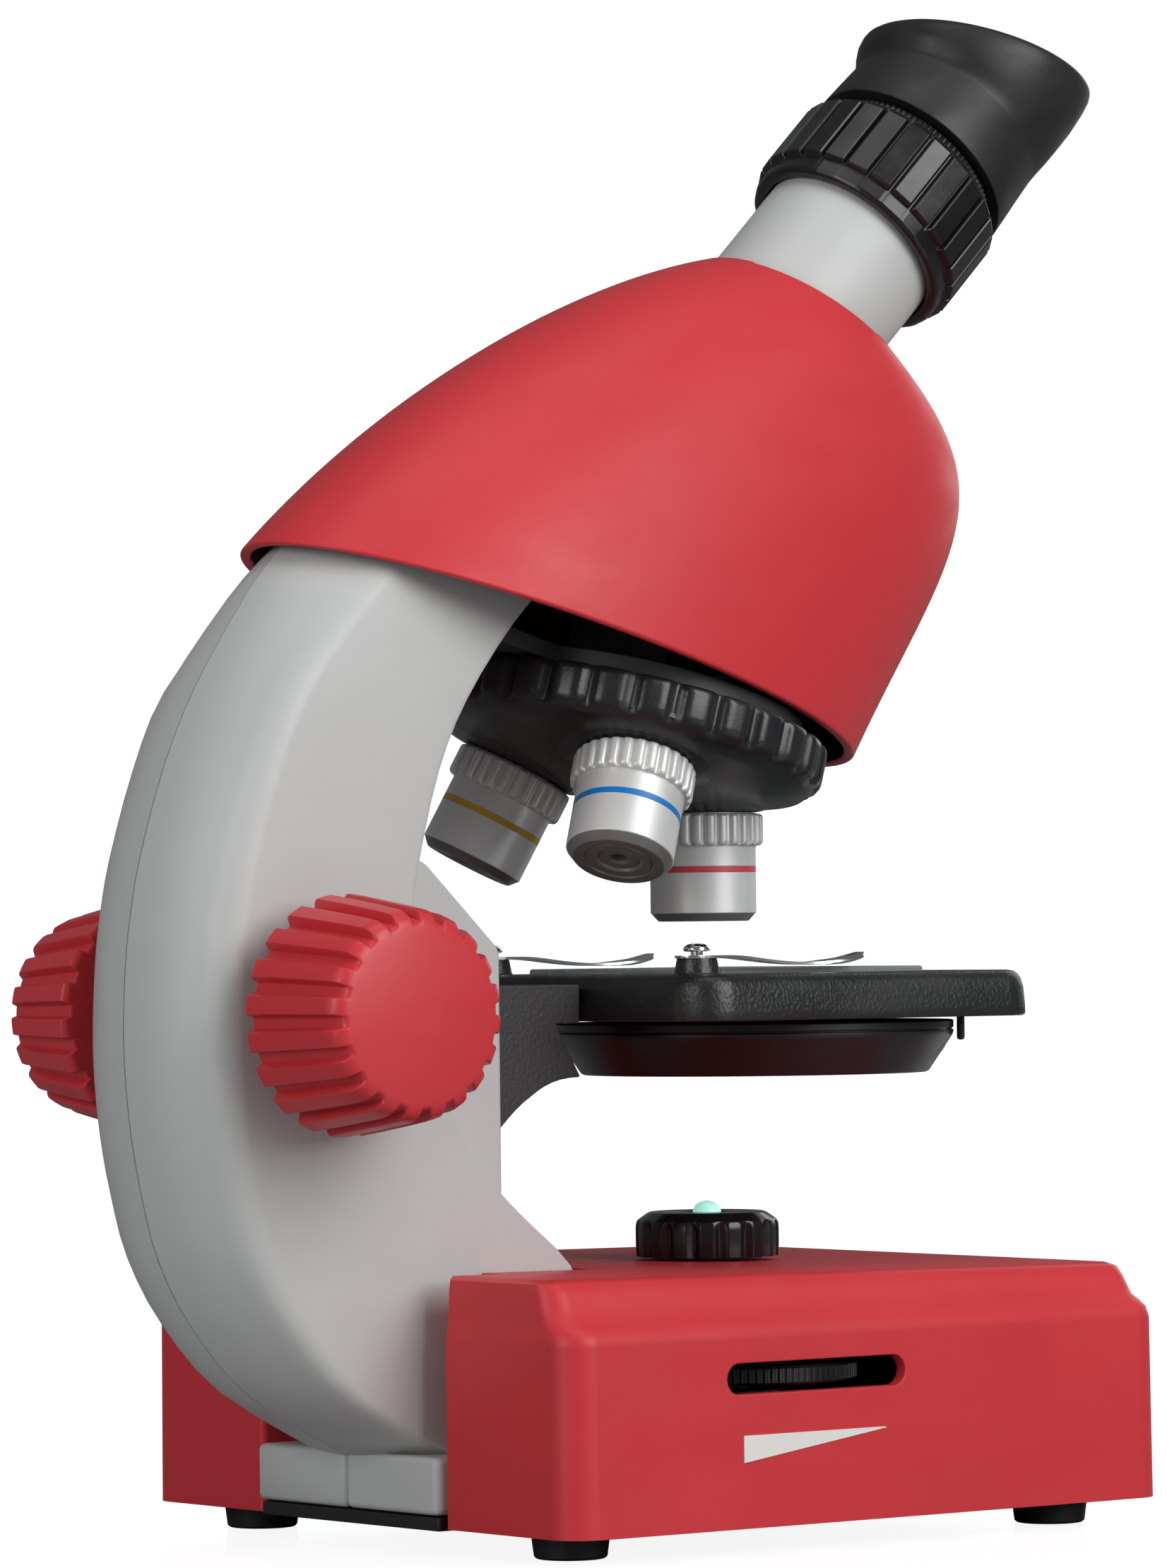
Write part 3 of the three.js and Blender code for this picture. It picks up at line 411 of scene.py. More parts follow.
# Rings of the outside, from the open bottom up: side, front and back inset, height.
base_rings = [
    (0.0, 0.0, 0.0, base_low.z), (0.3, 0.3, 0.0, 37.2), (0.9, 0.9, 0.3, 39.2), (2.4, 2.0, 0.5, shelf_top + 0.4),
    (4.3, 3.0, 0.6, 41.4), (6.0, 3.6, 0.7, 43.4), (7.1, 4.0, 0.8, 45.4), (8.4, 5.0, 1.1, 47.2), (10.6, 7.0, 2.6, 47.9),
]


def base_skin(name, inset, floor_drop, cap_first):
    """The base's outside, or its inside at a wall's thickness, as a closed skin."""
    start(name)
    for side, front, back, height in base_rings:
        taper = side / 10.6 * 4.2  # the plateau is wider at the front than at the back
        wide_back = base_high.x - side - inset
        wide_front = base_high.x - (side - taper) - inset
        r = max(3.0, base_radius - inset / 2 - side * 0.3)
        y_back = base_high.y - back - inset
        y_front = base_low.y + front + inset
        tilt = 0.7 if height > shelf_top + 5 else 0.0
        z = height - inset if height > base_low.z else height - floor_drop
        rounded_ring([
            (wide_back - r, y_back - r, z + tilt), (-wide_back + r, y_back - r, z + tilt),
            (-wide_front + r, y_front + r, z - tilt), (wide_front - r, y_front + r, z - tilt),
        ], r, 48)
    bridge(48, len(base_rings), cap_first, True)
    close_up()
    return bpy.context.object


base = base_skin("base_moulding", 0.0, 0.0, True)
base_inside = base_skin("base_inside", base_wall, 2.0, True)
notch_x = 27.4
notch_front = -34 + 82.96
inner_x = 21.6
inner_front = -58.4 + 82.96
pocket = bar("pocket", (-notch_x - base_wall, notch_front - base_wall, 6.9), (notch_x + base_wall, 80, 60))
pocket_deep = bar("pocket_deep", (-inner_x - base_wall, inner_front - base_wall, 6.9), (inner_x + base_wall, 80, 60))
cut_away(base_inside, pocket, pocket_deep)
cut_away(base, base_inside)
cut_away(base, bar("notch", (-notch_x, notch_front, -5), (notch_x, 80, 60)))
cut_away(base, bar("notch_deep", (-inner_x, inner_front, -5), (inner_x, 80, 60)))
bpy.ops.object.mode_set(mode="EDIT")
pick(lambda p: abs(abs(p.x) - notch_x) < 0.05 and abs(p.y - base_high.y) < 1.2 and 5 < p.z < 47, "EDGE")
bpy.ops.mesh.bevel(offset=1.4 * MM, segments=4, clamp_overlap=True)
bpy.ops.object.mode_set(mode="OBJECT")

slot_y = (-55.3 - 95.5) / 2 + 82.96
slot_z = (slot_low.z + slot_high.z) / 2
slot_half = 20.1
slot_radius = 2.7
start("thumb_slot")
for depth in (0, 6):
    rounded_ring([(slot_half - slot_radius, 0, depth), (-slot_half + slot_radius, 0, depth),
                  (-slot_half + slot_radius, 0, depth), (slot_half - slot_radius, 0, depth)], slot_radius, 32)
bridge(32, 2, True, True)
close_up()
thumb_slot = bpy.context.object
thumb_slot.matrix_world = Matrix.Translation(Vector((base_low.x - 1.5, slot_y, slot_z)) * MM) @ Matrix(
    ((0, 0, 1, 0), (1, 0, 0, 0), (0, 1, 0, 0), (0, 0, 0, 1)))
bpy.ops.object.transform_apply(location=True, rotation=True, scale=True)
cut_away(base, thumb_slot)
bpy.ops.object.mode_set(mode="EDIT")
pick(lambda p: p.x < base_low.x + 0.6 and abs(p.y - slot_y) < slot_half + 0.1 and abs(p.z - slot_z) < slot_radius + 0.1, "EDGE")
bpy.ops.mesh.bevel(offset=0.35 * MM, segments=2, clamp_overlap=True)
bpy.ops.object.mode_set(mode="OBJECT")
shade(base, 40)
done(base, "stand", "red_plastic", red_abs, "base_shell")

# Brightness mark: a white wedge pad-printed under the thumb slot, thick end to the back.
white_ink = moulded("white_ink", (0.82, 0.82, 0.78), 0.5, mottle=0.03, grain=0.3, depth=0.01)
start("brightness_mark")
mark_x = base_low.x + 0.12
draw([(mark_x, 24.4, 20.7), (mark_x, 24.4, 16.0), (mark_x, -7.7, 20.5), (mark_x, -7.7, 20.7)], close=True)
bpy.ops.mesh.select_all(action="SELECT")
bpy.ops.mesh.edge_face_add()
pull(x=-0.16)
close_up()
done(bpy.context.object, "stand", "red_plastic", white_ink)

# Bottom plate, battery tray and door: black ABS mouldings pressed up under the base. The
# plate has a tongue that carries the arm's foot, and the door has three grip bars.
def refined(name, node, ease, flat=2.0):
    """The CAD solid of a node, its doubles merged, flats made whole and edges eased."""
    bpy.ops.object.select_all(action="DESELECT")
    piece = frame["nodes"][node].copy()
    piece.data = piece.data.copy()
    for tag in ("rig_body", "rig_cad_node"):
        del piece[tag]
    piece.parent = None
    piece.name = name
    bpy.context.scene.collection.objects.link(piece)
    piece.select_set(True)
    bpy.context.view_layer.objects.active = piece
    bpy.ops.object.mode_set(mode="EDIT")
    bpy.ops.mesh.select_all(action="SELECT")
    bpy.ops.mesh.remove_doubles(threshold=1e-6)
    bpy.ops.mesh.customdata_custom_splitnormals_clear()
    bpy.ops.mesh.dissolve_limited(angle_limit=math.radians(flat))
    bpy.ops.object.mode_set(mode="OBJECT")
    soften(piece, ease, 2, 40)
    shade(piece, 50)
    return piece


black_abs = moulded("black_abs", (0.012, 0.012, 0.013), 0.42, mottle=0.2, grain=0.45, depth=0.012)
done(refined("bottom_plate", "base_plate", 0.35), "stand", "black_plastic", black_abs, "base_plate")
done(refined("battery_tray_shell", "battery_tray", 0.3), "stand", "black_plastic", black_abs, "battery_tray")
done(refined("battery_cover_panel", "battery_door", 0.3), "battery_cover", "black_plastic", black_abs,
     "battery_door")


# Feet: four soft rubber studs, each a turned shape with a rolled lower edge.
def turn(name, profile, steps=72, ease=0.25, angle=28, smooth=38):
    """A turned piece: its half section in mm, (radius, height), spun round the Z axis."""
    start(name)
    draw([(r, 0, z) for r, z in profile])
    bpy.ops.mesh.select_all(action="SELECT")
    bpy.ops.mesh.spin(steps=steps, angle=2 * math.pi, center=(0, 0, 0), axis=(0, 0, 1))
    close_up()
    piece = bpy.context.object
    if ease:
        soften(piece, ease, 3, angle)
    shade(piece, smooth)
    return piece


def seat(piece, place, *turns):
    """Puts a finished shape in its place, turned by (degrees, axis) steps."""
    bpy.ops.object.select_all(action="DESELECT")
    piece.select_set(True)
    bpy.context.view_layer.objects.active = piece
    matrix = Matrix.Translation(Vector(place) * MM)
    for degrees, axis in turns:
        matrix = matrix @ Matrix.Rotation(math.radians(degrees), 4, axis)
    piece.matrix_world = matrix
    bpy.ops.object.transform_apply(location=True, rotation=True, scale=True)
    return piece


def node_middle(node):
    low, high = node_box(node)
    return (low + high) / 2


rubber = moulded("black_rubber", (0.011, 0.011, 0.011), 0.62, mottle=0.25, gloss=0.1, grain=0.35, depth=0.015)
for node in ("foot_rear_left", "foot_rear_right", "foot_front_left", "foot_front_right"):
    foot = turn(node + "_stud", [
        (0, 0.25), (4.6, 0.2), (5.3, 0), (6.1, 0), (6.4, 0.5), (6.85, 3.9), (4, 3.9), (4, 8.2), (0, 8.2),
    ], 48, 0.45)
    middle = node_middle(node)
    seat(foot, (middle.x, middle.y, 0))
    done(foot, "stand", "black_rubber", rubber, node)

# Battery bay: three AA cells between spring-steel contacts riveted to the tray's ends.
spring_steel = moulded("spring_steel", (0.62, 0.62, 0.63), 0.28, mottle=0.08, gloss=0.1, grain=0.25,
                       depth=0.003, Metallic=1.0)
for node in ("contact_positive", "contact_bridge_rear", "contact_bridge_front", "contact_negative"):
    done(refined(node + "_strip", node, 0.1), "stand", "spring_steel", spring_steel, node)


def two_tone(name, first, second, axis, level, roughness, metallic):
    """A printed sleeve that changes colour at a level, in mm along an axis, in a sharp step
    between its two inks."""
    material = moulded(name, first, roughness, Metallic=metallic, mottle=0.05)
    nodes = material.node_tree.nodes
    link = material.node_tree.links.new
    shader = nodes["Principled BSDF"]
    ink = shader.inputs["Base Color"].links[0].from_socket
    place = nodes.new("ShaderNodeTexCoord")
    split = nodes.new("ShaderNodeSeparateXYZ")
    link(place.outputs["Object"], split.inputs[0])
    past = nodes.new("ShaderNodeMath")
    past.operation = "GREATER_THAN"
    past.inputs[1].default_value = level * MM
    link(split.outputs[axis], past.inputs[0])
    mix = nodes.new("ShaderNodeMix")
    mix.data_type = "RGBA"
    mix.inputs["B"].default_value = (*second, 1)
    link(past.outputs[0], mix.inputs["Factor"])
    link(ink, mix.inputs["A"])
    link(mix.outputs["Result"], shader.inputs["Base Color"])
    return material


cell_low, cell_high = node_box("battery_1")
cell_wrap = two_tone("cell_wrap", (0.03, 0.07, 0.16), (0.55, 0.38, 0.14), "Y",
                     (cell_low.y + cell_high.y) / 2 + 9, 0.3, 0.6)
for number in (1, 2, 3):
    node = f"battery_{number}"
    cell = turn(node + "_cell", [
        (0, 0), (4.4, 0), (4.7, 0.35), (6.5, 0.35), (6.9, 0), (7.1, 0.5), (7.1, 49), (6.7, 49.4), (2.8, 49.4),
        (2.7, 50.5), (0, 50.5),
    ], 48, 0.2)
    middle = node_middle(node)
    facing = 1 if number % 2 else -1
    seat(cell, (middle.x, middle.y + facing * 25.25, middle.z), (facing * 90, "X"))
    done(cell, "stand", "cell_wrap", cell_wrap, node)

# Dimmer: a thin black thumb wheel with a fine knurl on the stem of a potentiometer, which
# is soldered to a small board; a twin lead runs from there up to the lamp.
def ribbed(name, count, tooth, levels, ease=0.2, smooth=40, close_first=True, close_last=True):
    """A piece with count ribs. A rib's edge is given as (share of the pitch, part), where
    part 0 is the crest, 1 the edge and 2 the groove, and drawn count times round; the rim is
    then pulled up through levels of (height, crest radius, edge radius, groove radius)."""
    pitch = 2 * math.pi / count
    height, *radii = levels[0]
    start(name)
    rim = [((rib + share) * pitch, radii[part]) for rib in range(count) for share, part in tooth]
    draw([(r * math.cos(turned), r * math.sin(turned), height) for turned, r in rim], close=True)
    size = len(rim)
    pick_numbers(range(size))

    def rib_part(v):
        share = (math.atan2(v.y, v.x) / pitch) % 1
        gaps = [(min(abs(share - s), 1 - abs(share - s)), part) for s, part in tooth]
        return min(gaps)[1]

    for next_height, *next_radii in levels[1:]:
        made_so_far = len(edited().verts)
        pull(z=next_height - height)
        ring = {i: rib_part(v.co) for i, v in enumerate(edited().verts) if i >= made_so_far}
        for part, (old, new) in enumerate(zip(radii, next_radii)):
            if abs(new - old) > 1e-6:
                pick_numbers([i for i in ring if ring[i] == part])
                stretch(new / old, new / old, 1)
        pick_numbers(ring)
        height, radii = next_height, next_radii
    last = len(edited().verts)
    if close_last:
        bpy.ops.mesh.edge_face_add()
    if close_first:
        pick_numbers(range(size))
        bpy.ops.mesh.edge_face_add()
    if not (close_first or close_last):
        pick_numbers([*range(size), *range(last - size, last)])
        bpy.ops.mesh.bridge_edge_loops()
    close_up()
    piece = bpy.context.object
    if ease:
        soften(piece, ease, 2, 25)
    shade(piece, smooth)
    return piece


dimmer = pivots["dimmer_turn"]
wheel_black = moulded("wheel_black", (0.01, 0.01, 0.01), 0.36, mottle=0.2, grain=0.3, depth=0.006)
saw = [(0.0, 0), (0.25, 0), (0.5, 2), (0.75, 2)]
dimmer_wheel = ribbed("dimmer_thumb_wheel", 96, saw, [
    (-1.8, 19.6, 19.6, 19.5), (-1.7, 20.2, 20.1, 20.0), (-1.2, 21.0, 20.8, 20.55), (1.2, 21.0, 20.8, 20.55),
    (1.7, 20.2, 20.1, 20.0), (1.8, 19.6, 19.6, 19.5), (1.8, 18.2, 18.2, 18.2), (1.1, 17.6, 17.6, 17.6),
    (1.1, 6.4, 6.4, 6.4), (1.8, 5.8, 5.8, 5.8), (1.8, 2.3, 2.3, 2.3), (-1.75, 2.3, 2.3, 2.3),
], 0, 30, False, False)
seat(dimmer_wheel, dimmer)
done(dimmer_wheel, "dimmer", "black_plastic", wheel_black, "dimmer_wheel")

plated_steel = moulded("plated_steel", (0.55, 0.55, 0.54), 0.3, mottle=0.08, grain=0.4, depth=0.004,
                       Metallic=1.0)
stem = turn("potentiometer_stem", [(0, -3.3), (2, -3.3), (2, 2.5), (0, 2.5)], 40, 0.25)
can = bar("potentiometer_can", (-5.5, -5, -8.4), (5.5, 5, -3.2), 0.5)
shade(can)
join_up(can, stem)
seat(can, dimmer)
done(can, "stand", "steel", plated_steel, "dimmer_potentiometer")


def board_material(name):
    """Green solder mask over copper tracks: a lattice of raised lines under a gloss film."""
    material = moulded(name, (0.01, 0.12, 0.045), 0.3, mottle=0.15, grain=0.2, depth=0.004)
    nodes = material.node_tree.nodes
    link = material.node_tree.links.new
    shader = nodes["Principled BSDF"]
    mask = shader.inputs["Base Color"].links[0].from_socket
    place = nodes.new("ShaderNodeTexCoord")
    track = nodes.new("ShaderNodeTexBrick")
    track.inputs["Scale"].default_value = 260
    track.inputs["Mortar Size"].default_value = 0.09
    track.inputs["Color1"].default_value = (0, 0, 0, 1)
    track.inputs["Color2"].default_value = (0, 0, 0, 1)
    track.inputs["Mortar"].default_value = (1, 1, 1, 1)
    link(place.outputs["Object"], track.inputs["Vector"])
    mix = nodes.new("ShaderNodeMix")
    mix.data_type = "RGBA"
    mix.inputs["B"].default_value = (0.06, 0.26, 0.07, 1)
    link(track.outputs["Fac"], mix.inputs["Factor"])
    link(mask, mix.inputs["A"])
    link(mix.outputs["Result"], shader.inputs["Base Color"])
    return material


circuit_green = board_material("circuit_green")
board_low, board_high = node_box("dimmer_board")
dimmer_board = bar("dimmer_circuit_board", board_low, board_high, 0.12)
joints_of_solder = []
for row in range(3):
    for column in range(4):
        blob = turn(f"solder_{row}_{column}", [(0, 0.55), (0.35, 0.5), (0.8, 0.1), (0.9, -0.2), (0, -0.2)], 12, 0)
        seat(blob, (board_low.x + 2.5 + 3.6 * column, board_low.y + 4 + 6 * row, board_high.z))
        joints_of_solder.append(blob)
shade(dimmer_board)
join_up(dimmer_board, *joints_of_solder)
done(dimmer_board, "stand", "circuit_board", circuit_green, "dimmer_board")

# Lamp lead: a soft two-core lead, laid from the dimmer board under the plateau to the lamp.
lead_route = [
    (-35.8, 0.96, 20.8), (-34.4, 1.5, 23.2), (-31.8, 2.2, 25.6), (-27, 0.6, 26.1), (-23, -1.04, 26.2),
    (-19, -3.0, 26.8), (-16, -5.04, 28.4), (-14.4, -7.4, 31.6), (-13, -10.04, 36), (-9.2, -13.7, 40),
    (-4, -17.04, 42.6), (-1.2, -18.6, 44.6), (0, -19.24, 47.4),
]
lead_sleeve = moulded("lead_sleeve", (0.03, 0.03, 0.032), 0.5, mottle=0.2, grain=0.3, depth=0.01)
route = bpy.data.curves.new("lamp_lead_route", "CURVE")
route.dimensions = "3D"
route.bevel_depth = 0.8 * MM
route.bevel_resolution = 3
spline = route.splines.new("NURBS")
spline.points.add(len(lead_route) - 1)
spline.use_endpoint_u = True
spline.order_u = 4
for point, place in zip(spline.points, lead_route):
    point.co = (*(Vector(place) * MM), 1)
lead = bpy.data.objects.new("lamp_lead_wire", route)
bpy.context.scene.collection.objects.link(lead)
lead.select_set(True)
bpy.context.view_layer.objects.active = lead
bpy.ops.object.convert(target="MESH")
lead = bpy.context.object
bpy.ops.object.shade_smooth()
done(lead, "stand", "wire_sleeve", lead_sleeve, "lamp_lead")

# Lamp: a black scalloped collar round a clear dome with a warm-white diode under it.
lamp_low, lamp_high = node_box("lamp_collar")
lamp_place = (0, (lamp_low.y + lamp_high.y) / 2, 0)
scallop = [(0.04, 0), (0.2, 0), (0.36, 0), (0.52, 0), (0.62, 1), (0.72, 2), (0.84, 2), (0.94, 1)]
collar = ribbed("lamp_collar_moulding", 16, scallop, [
    (48.4, 13.1, 12.7, 12.2), (50.8, 13.2, 12.8, 12.25), (53.4, 13.2, 12.8, 12.3), (54.3, 13.15, 12.9, 12.5),
    (55.0, 12.95, 12.8, 12.7), (55.3, 12.6, 12.55, 12.5), (56.4, 11.0, 11.0, 11.0), (56.6, 10.5, 10.5, 10.5),
    (56.6, 4.6, 4.6, 4.6), (55.9, 3.1, 3.1, 3.1), (53.4, 3.1, 3.1, 3.1), (53.4, 8.6, 8.6, 8.6), (48.45, 8.6, 8.6, 8.6),
], 0.18, 40, False, False)
gloss_black = moulded("gloss_black", (0.008, 0.008, 0.009), 0.2, mottle=0.15, gloss=0.09, grain=1.4, depth=0.01)
seat(collar, lamp_place)
done(collar, "stand", "black_plastic", gloss_black, "lamp_collar")

lit_dome = moulded("lit_dome", (0.5, 0.75, 0.7), 0.15, mottle=0.02, grain=0.5, depth=0.004,
                   IOR=1.49, Emission_Color=(0.45, 1.0, 0.85, 1), Emission_Strength=0.55)
led = turn("lamp_dome", [
    (0, 50.6), (3.6, 50.6), (3.6, 52.2), (2.7, 52.2), (2.7, 56.2), (2.5, 57.1), (2.0, 57.9), (1.1, 58.4), (0, 58.6),
], 40, 0.1)
seat(led, lamp_place)
done(led, "stand", "optical_glass", lit_dome, "lamp_led")
lamp_board = refined("lamp_circuit_board", "lamp_board", 0.1, 0.5)
done(lamp_board, "stand", "circuit_board", circuit_green, "lamp_board")

# Arm: two light grey ABS half shells that meet on the middle plane. Each is a C-shaped
# tray with a crowned back, a boxed housing for the rack and a foot that stands on the plate.
shaft = pivots["focus_turn"]
behind = shaft.y  # lengths along the arm are counted from the focus shaft
back_centre = (-95.0, 92.0)
back_radius = 121.8
arm_half = 21.0


def on_back(z):
    """A point of the arm's round back at this height, counted from the focus shaft."""
    return back_centre[0] + math.sqrt(back_radius ** 2 - (z - back_centre[1]) ** 2), z


# Inner edge, back, half width and crown, from the foot up to the head.
arm_stations = [
    ((-57.6, 16.6), (-19.5, 16.2), 21, 7), ((-57.8, 27), (0.6, 27.2), 21, 7), ((-57.6, 40), (12.8, 39.6), 21, 7),
    ((-55, 49), on_back(52), 21, 7), ((-44, 58.4), on_back(64), 21, 7), ((-36, 66), on_back(74), 21, 7),
    ((-29.8, 76), on_back(84), 21, 7), ((-24.6, 88), on_back(93), 21, 7), ((-21.4, 103), on_back(104), 21, 7),
    ((-21.2, 112), on_back(112), 21, 7), ((-22.6, 121), on_back(122), 21, 7), ((-27.2, 137), on_back(138), 21, 7),
    ((-33.4, 149.4), on_back(152), 21, 7), ((-44.6, 163.2), on_back(168), 20.2, 10),
    ((-58, 175), on_back(177.4), 18.4, 13), ((-66, 184), on_back(187), 16.8, 15),
]


def between(before, a, b, after, share):
    """A smooth curve's value between a and b, given its neighbours."""
    return 0.5 * (2 * a + (b - before) * share + (2 * before - 5 * a + 4 * b - after) * share ** 2
                  + (3 * a - before - 3 * b + after) * share ** 3)


def finer(stations, cuts):
    """The stations with cuts more between each two, on smooth curves through them."""
    rows = [[*a, *b, width, crown] for a, b, width, crown in stations]
    fine = []
    for i in range(len(rows) - 1):
        group = [rows[max(i - 1, 0)], rows[i], rows[i + 1], rows[min(i + 2, len(rows) - 1)]]
        for cut in range(cuts):
            fine.append([between(*values, cut / cuts) for values in zip(*group)])
    return [*fine, rows[-1]]


def arm_half_shell(name):
    start(name)
    stations = finer(arm_stations, 3)
    for inner_y, inner_z, back_y, back_z, half, crown in stations:
        along = Vector((back_y - inner_y, back_z - inner_z))
        depth = along.length
        along.normalize()
        section = [
            (0, 0.15), (0, half - 4), (0, half - 1.6), (0.5, half - 0.5), (1.6, half), (depth * 0.3, half),
            (depth - crown - 14, half), (depth - crown - 4, half - 0.05), (depth - crown - 1.6, half - 0.5),
            (depth - crown + 0.6, half - 1.9), (depth - crown * 0.72, half - 4.4), (depth - crown * 0.46, half - 7.6),
            (depth - crown * 0.22, half - 11.4), (depth - crown * 0.06, half - 15.8), (depth, 0.15),
        ]
        draw([(-x, behind + inner_y + along.x * d, inner_z + along.y * d) for d, x in section])
    count = len(section)
    for row in range(len(stations) - 1):
        pick_numbers(range(row * count, (row + 2) * count))
        bpy.ops.mesh.bridge_edge_loops()
    pick_numbers(range(count))
    bpy.ops.mesh.edge_face_add()
    close_up()
    piece = bpy.context.object
    use_modifier(piece, "SOLIDIFY", thickness=2.3 * MM, offset=-1, use_even_offset=True)
    return piece


grey_abs = moulded("grey_abs", (0.56, 0.57, 0.56), 0.42, mottle=0.02, patch=14, gloss=0.06, grain=0.8, depth=0.004,
                   Specular_IOR_Level=0.35)


def housing_box(low_x, high_x, ease):
    """The boxed front of the arm, drawn in side view and pulled out sideways."""
    start("housing_box")
    outline = [(-20, 54), (-38, 54), (-41.5, 54.8), (-43.4, 56.8), (-44, 60), (-44, 104.6), (-43.4, 105.9),
               (-28.2, 120.4), (-26.6, 121.4), (-20, 121.4)]
    draw([(low_x, behind + y, z) for y, z in outline], close=True)
    bpy.ops.mesh.select_all(action="SELECT")
    bpy.ops.mesh.edge_face_add()
    pull(x=high_x - low_x)
    close_up()
    if ease:
        soften(bpy.context.object, ease, 3)
    return bpy.context.object


arm_left = arm_half_shell("arm_left_shell")
channel_x = 8.4
housing = housing_box(-15, -0.15, 1.1)
cut_away(housing, bar("channel", (-channel_x, behind - 50, 49.4), (channel_x, behind + 4, 110)))
cut_away(arm_left, bar("channel", (-channel_x, behind - 50, 49.4), (channel_x, behind + 4, 110)))
shaft_hole = turn("shaft_hole", [(0, -30), (5.3, -30), (5.3, 30), (0, 30)], 48, 0)
seat(shaft_hole, (0, shaft.y, shaft.z), (90, "Y"))
cut_away(arm_left, shaft_hole)
foot_left = bar("foot_block", (-27, behind - 33.6, 6.9), (-0.15, behind - 19.4, 17), 0)
soften(foot_left, 1.2, 3)
tongue = bar("foot_tongue", (-21.3, behind - 57.8, 6.9), (-0.15, behind - 33, 18), 0.6)
shade(arm_left, 30)
for part in (housing, foot_left, tongue):
    shade(part, 40)
join_up(arm_left, housing, foot_left, tongue)


def mirrored(piece, name):
    """A copy with its own mesh, turned over to the other side of the middle plane."""
    bpy.ops.object.select_all(action="DESELECT")
    other = piece.copy()
    other.data = piece.data.copy()
    other.name = name
    bpy.context.scene.collection.objects.link(other)
    other.select_set(True)
    bpy.context.view_layer.objects.active = other
    bpy.ops.object.mode_set(mode="EDIT")
    bpy.ops.mesh.select_all(action="SELECT")
    stretch(-1, 1, 1)
    bpy.ops.mesh.flip_normals()
    bpy.ops.object.mode_set(mode="OBJECT")
    return other


arm_right = mirrored(arm_left, "arm_right_shell")
done(arm_left, "stand", "grey_plastic", grey_abs, "arm_left_half")
done(arm_right, "stand", "grey_plastic", grey_abs, "arm_right_half")

# Focus drive: a plated shaft in two brass bushes turns a brass pinion, which drives the
# rack; a red ribbed knob is pressed on each end.
brass = moulded("brass", (0.72, 0.48, 0.17), 0.3, mottle=0.1, grain=0.3, depth=0.004, Metallic=1.0)
rod = turn("focus_shaft_rod", [(0, -44), (3, -44), (3, 44), (0, 44)], 48, 0.4)
seat(rod, shaft, (90, "Y"))
done(rod, "focus_drive", "steel", plated_steel, "focus_shaft")
for side, node in ((-1, "shaft_bush_left"), (1, "shaft_bush_right")):
    bush = turn(node + "_ring", [
        (3.12, 17), (7, 17), (7, 18.2), (5, 18.2), (5, 21.6), (3.12, 21.6), (3.12, 17),
    ], 48, 0.15)
    seat(bush, shaft, (side * 90, "Y"))
    done(bush, "stand", "brass", brass, node)
done(refined("focus_pinion_gear", "focus_pinion", 0.08), "focus_drive", "brass", brass, "focus_pinion")
done(refined("focus_rack_bar", "focus_rack", 0.08), "stage", "brass", brass, "focus_rack")

knob_rib = [(0.0, 2), (0.17, 2), (0.34, 2), (0.39, 1), (0.43, 0), (0.55, 0), (0.67, 0), (0.79, 0), (0.91, 0), (0.95, 1)]
knob_red = moulded("knob_red", (0.63, 0.04, 0.05), 0.36, mottle=0.04, grain=0.9, depth=0.004, Specular_IOR_Level=0.4)
# Levels from the arm outwards; the ribs taper, end round the rim and run out into the smooth domed cap.
knob = ribbed("knob", 20, knob_rib, [
    (-1.2, 19.7, 19.5, 18.6), (-0.9, 20.6, 20.3, 19.1), (-0.3, 21.0, 20.7, 19.3), (6.0, 20.2, 19.9, 18.5),
    (13.0, 19.2, 18.9, 17.6), (18.5, 18.35, 18.05, 16.8), (20.0, 17.95, 17.7, 16.5), (21.0, 17.3, 17.1, 16.2),
    (21.6, 16.5, 16.35, 15.85), (21.9, 15.7, 15.65, 15.5), (22.0, 15.2, 15.2, 15.2), (22.2, 14, 14, 14),
    (22.5, 11.5, 11.5, 11.5), (22.75, 8.5, 8.5, 8.5), (22.92, 5, 5, 5), (23.0, 1.6, 1.6, 1.6),
], 0, 38)
back = turn("knob_back", [(7.8, 0), (7.5, -6.4), (3.3, -6.4), (3.3, 0), (7.8, 0)], 90, 0.2)
join_up(knob, back)
for side, node in ((-1, "focus_knob_left"), (1, "focus_knob_right")):
    bpy.ops.object.select_all(action="DESELECT")
    copy = knob.copy()
    copy.data = knob.data.copy()
    copy.name = node + "_moulding"
    bpy.context.scene.collection.objects.link(copy)
    seat(copy, (side * 29, shaft.y, shaft.z), (side * 90, "Y"))
    done(copy, "focus_drive", "red_plastic", knob_red, node)
bpy.data.objects.remove(knob)

# Stage: a black grained moulding on a bracket that rides in the arm. A frosted clear
# insert lies in its top, two posts carry the spring clips, and it is hollow below.
stage_black = moulded("stage_black", (0.014, 0.0145, 0.014), 0.36, mottle=0.25, gloss=0.12, grain=0.7, depth=0.13)
optical_y = pivots["turret_turn"].y
stage_low, stage_high = node_box("stage_plate")
table_x = stage_high.x
table_front = stage_low.y
table_back = stage_high.y
table_top = 100.5
table_bottom = 92.1
# Rings from below: inset and height, with the soft upper edge of a moulded tray.
table_rings = [(0.5, table_bottom), (0.0, table_bottom + 0.35), (0.0, 94.0), (0.3, 97.4), (0.7, 98.9),
               (1.3, 99.8), (2.1, 100.3), (3.2, table_top)]


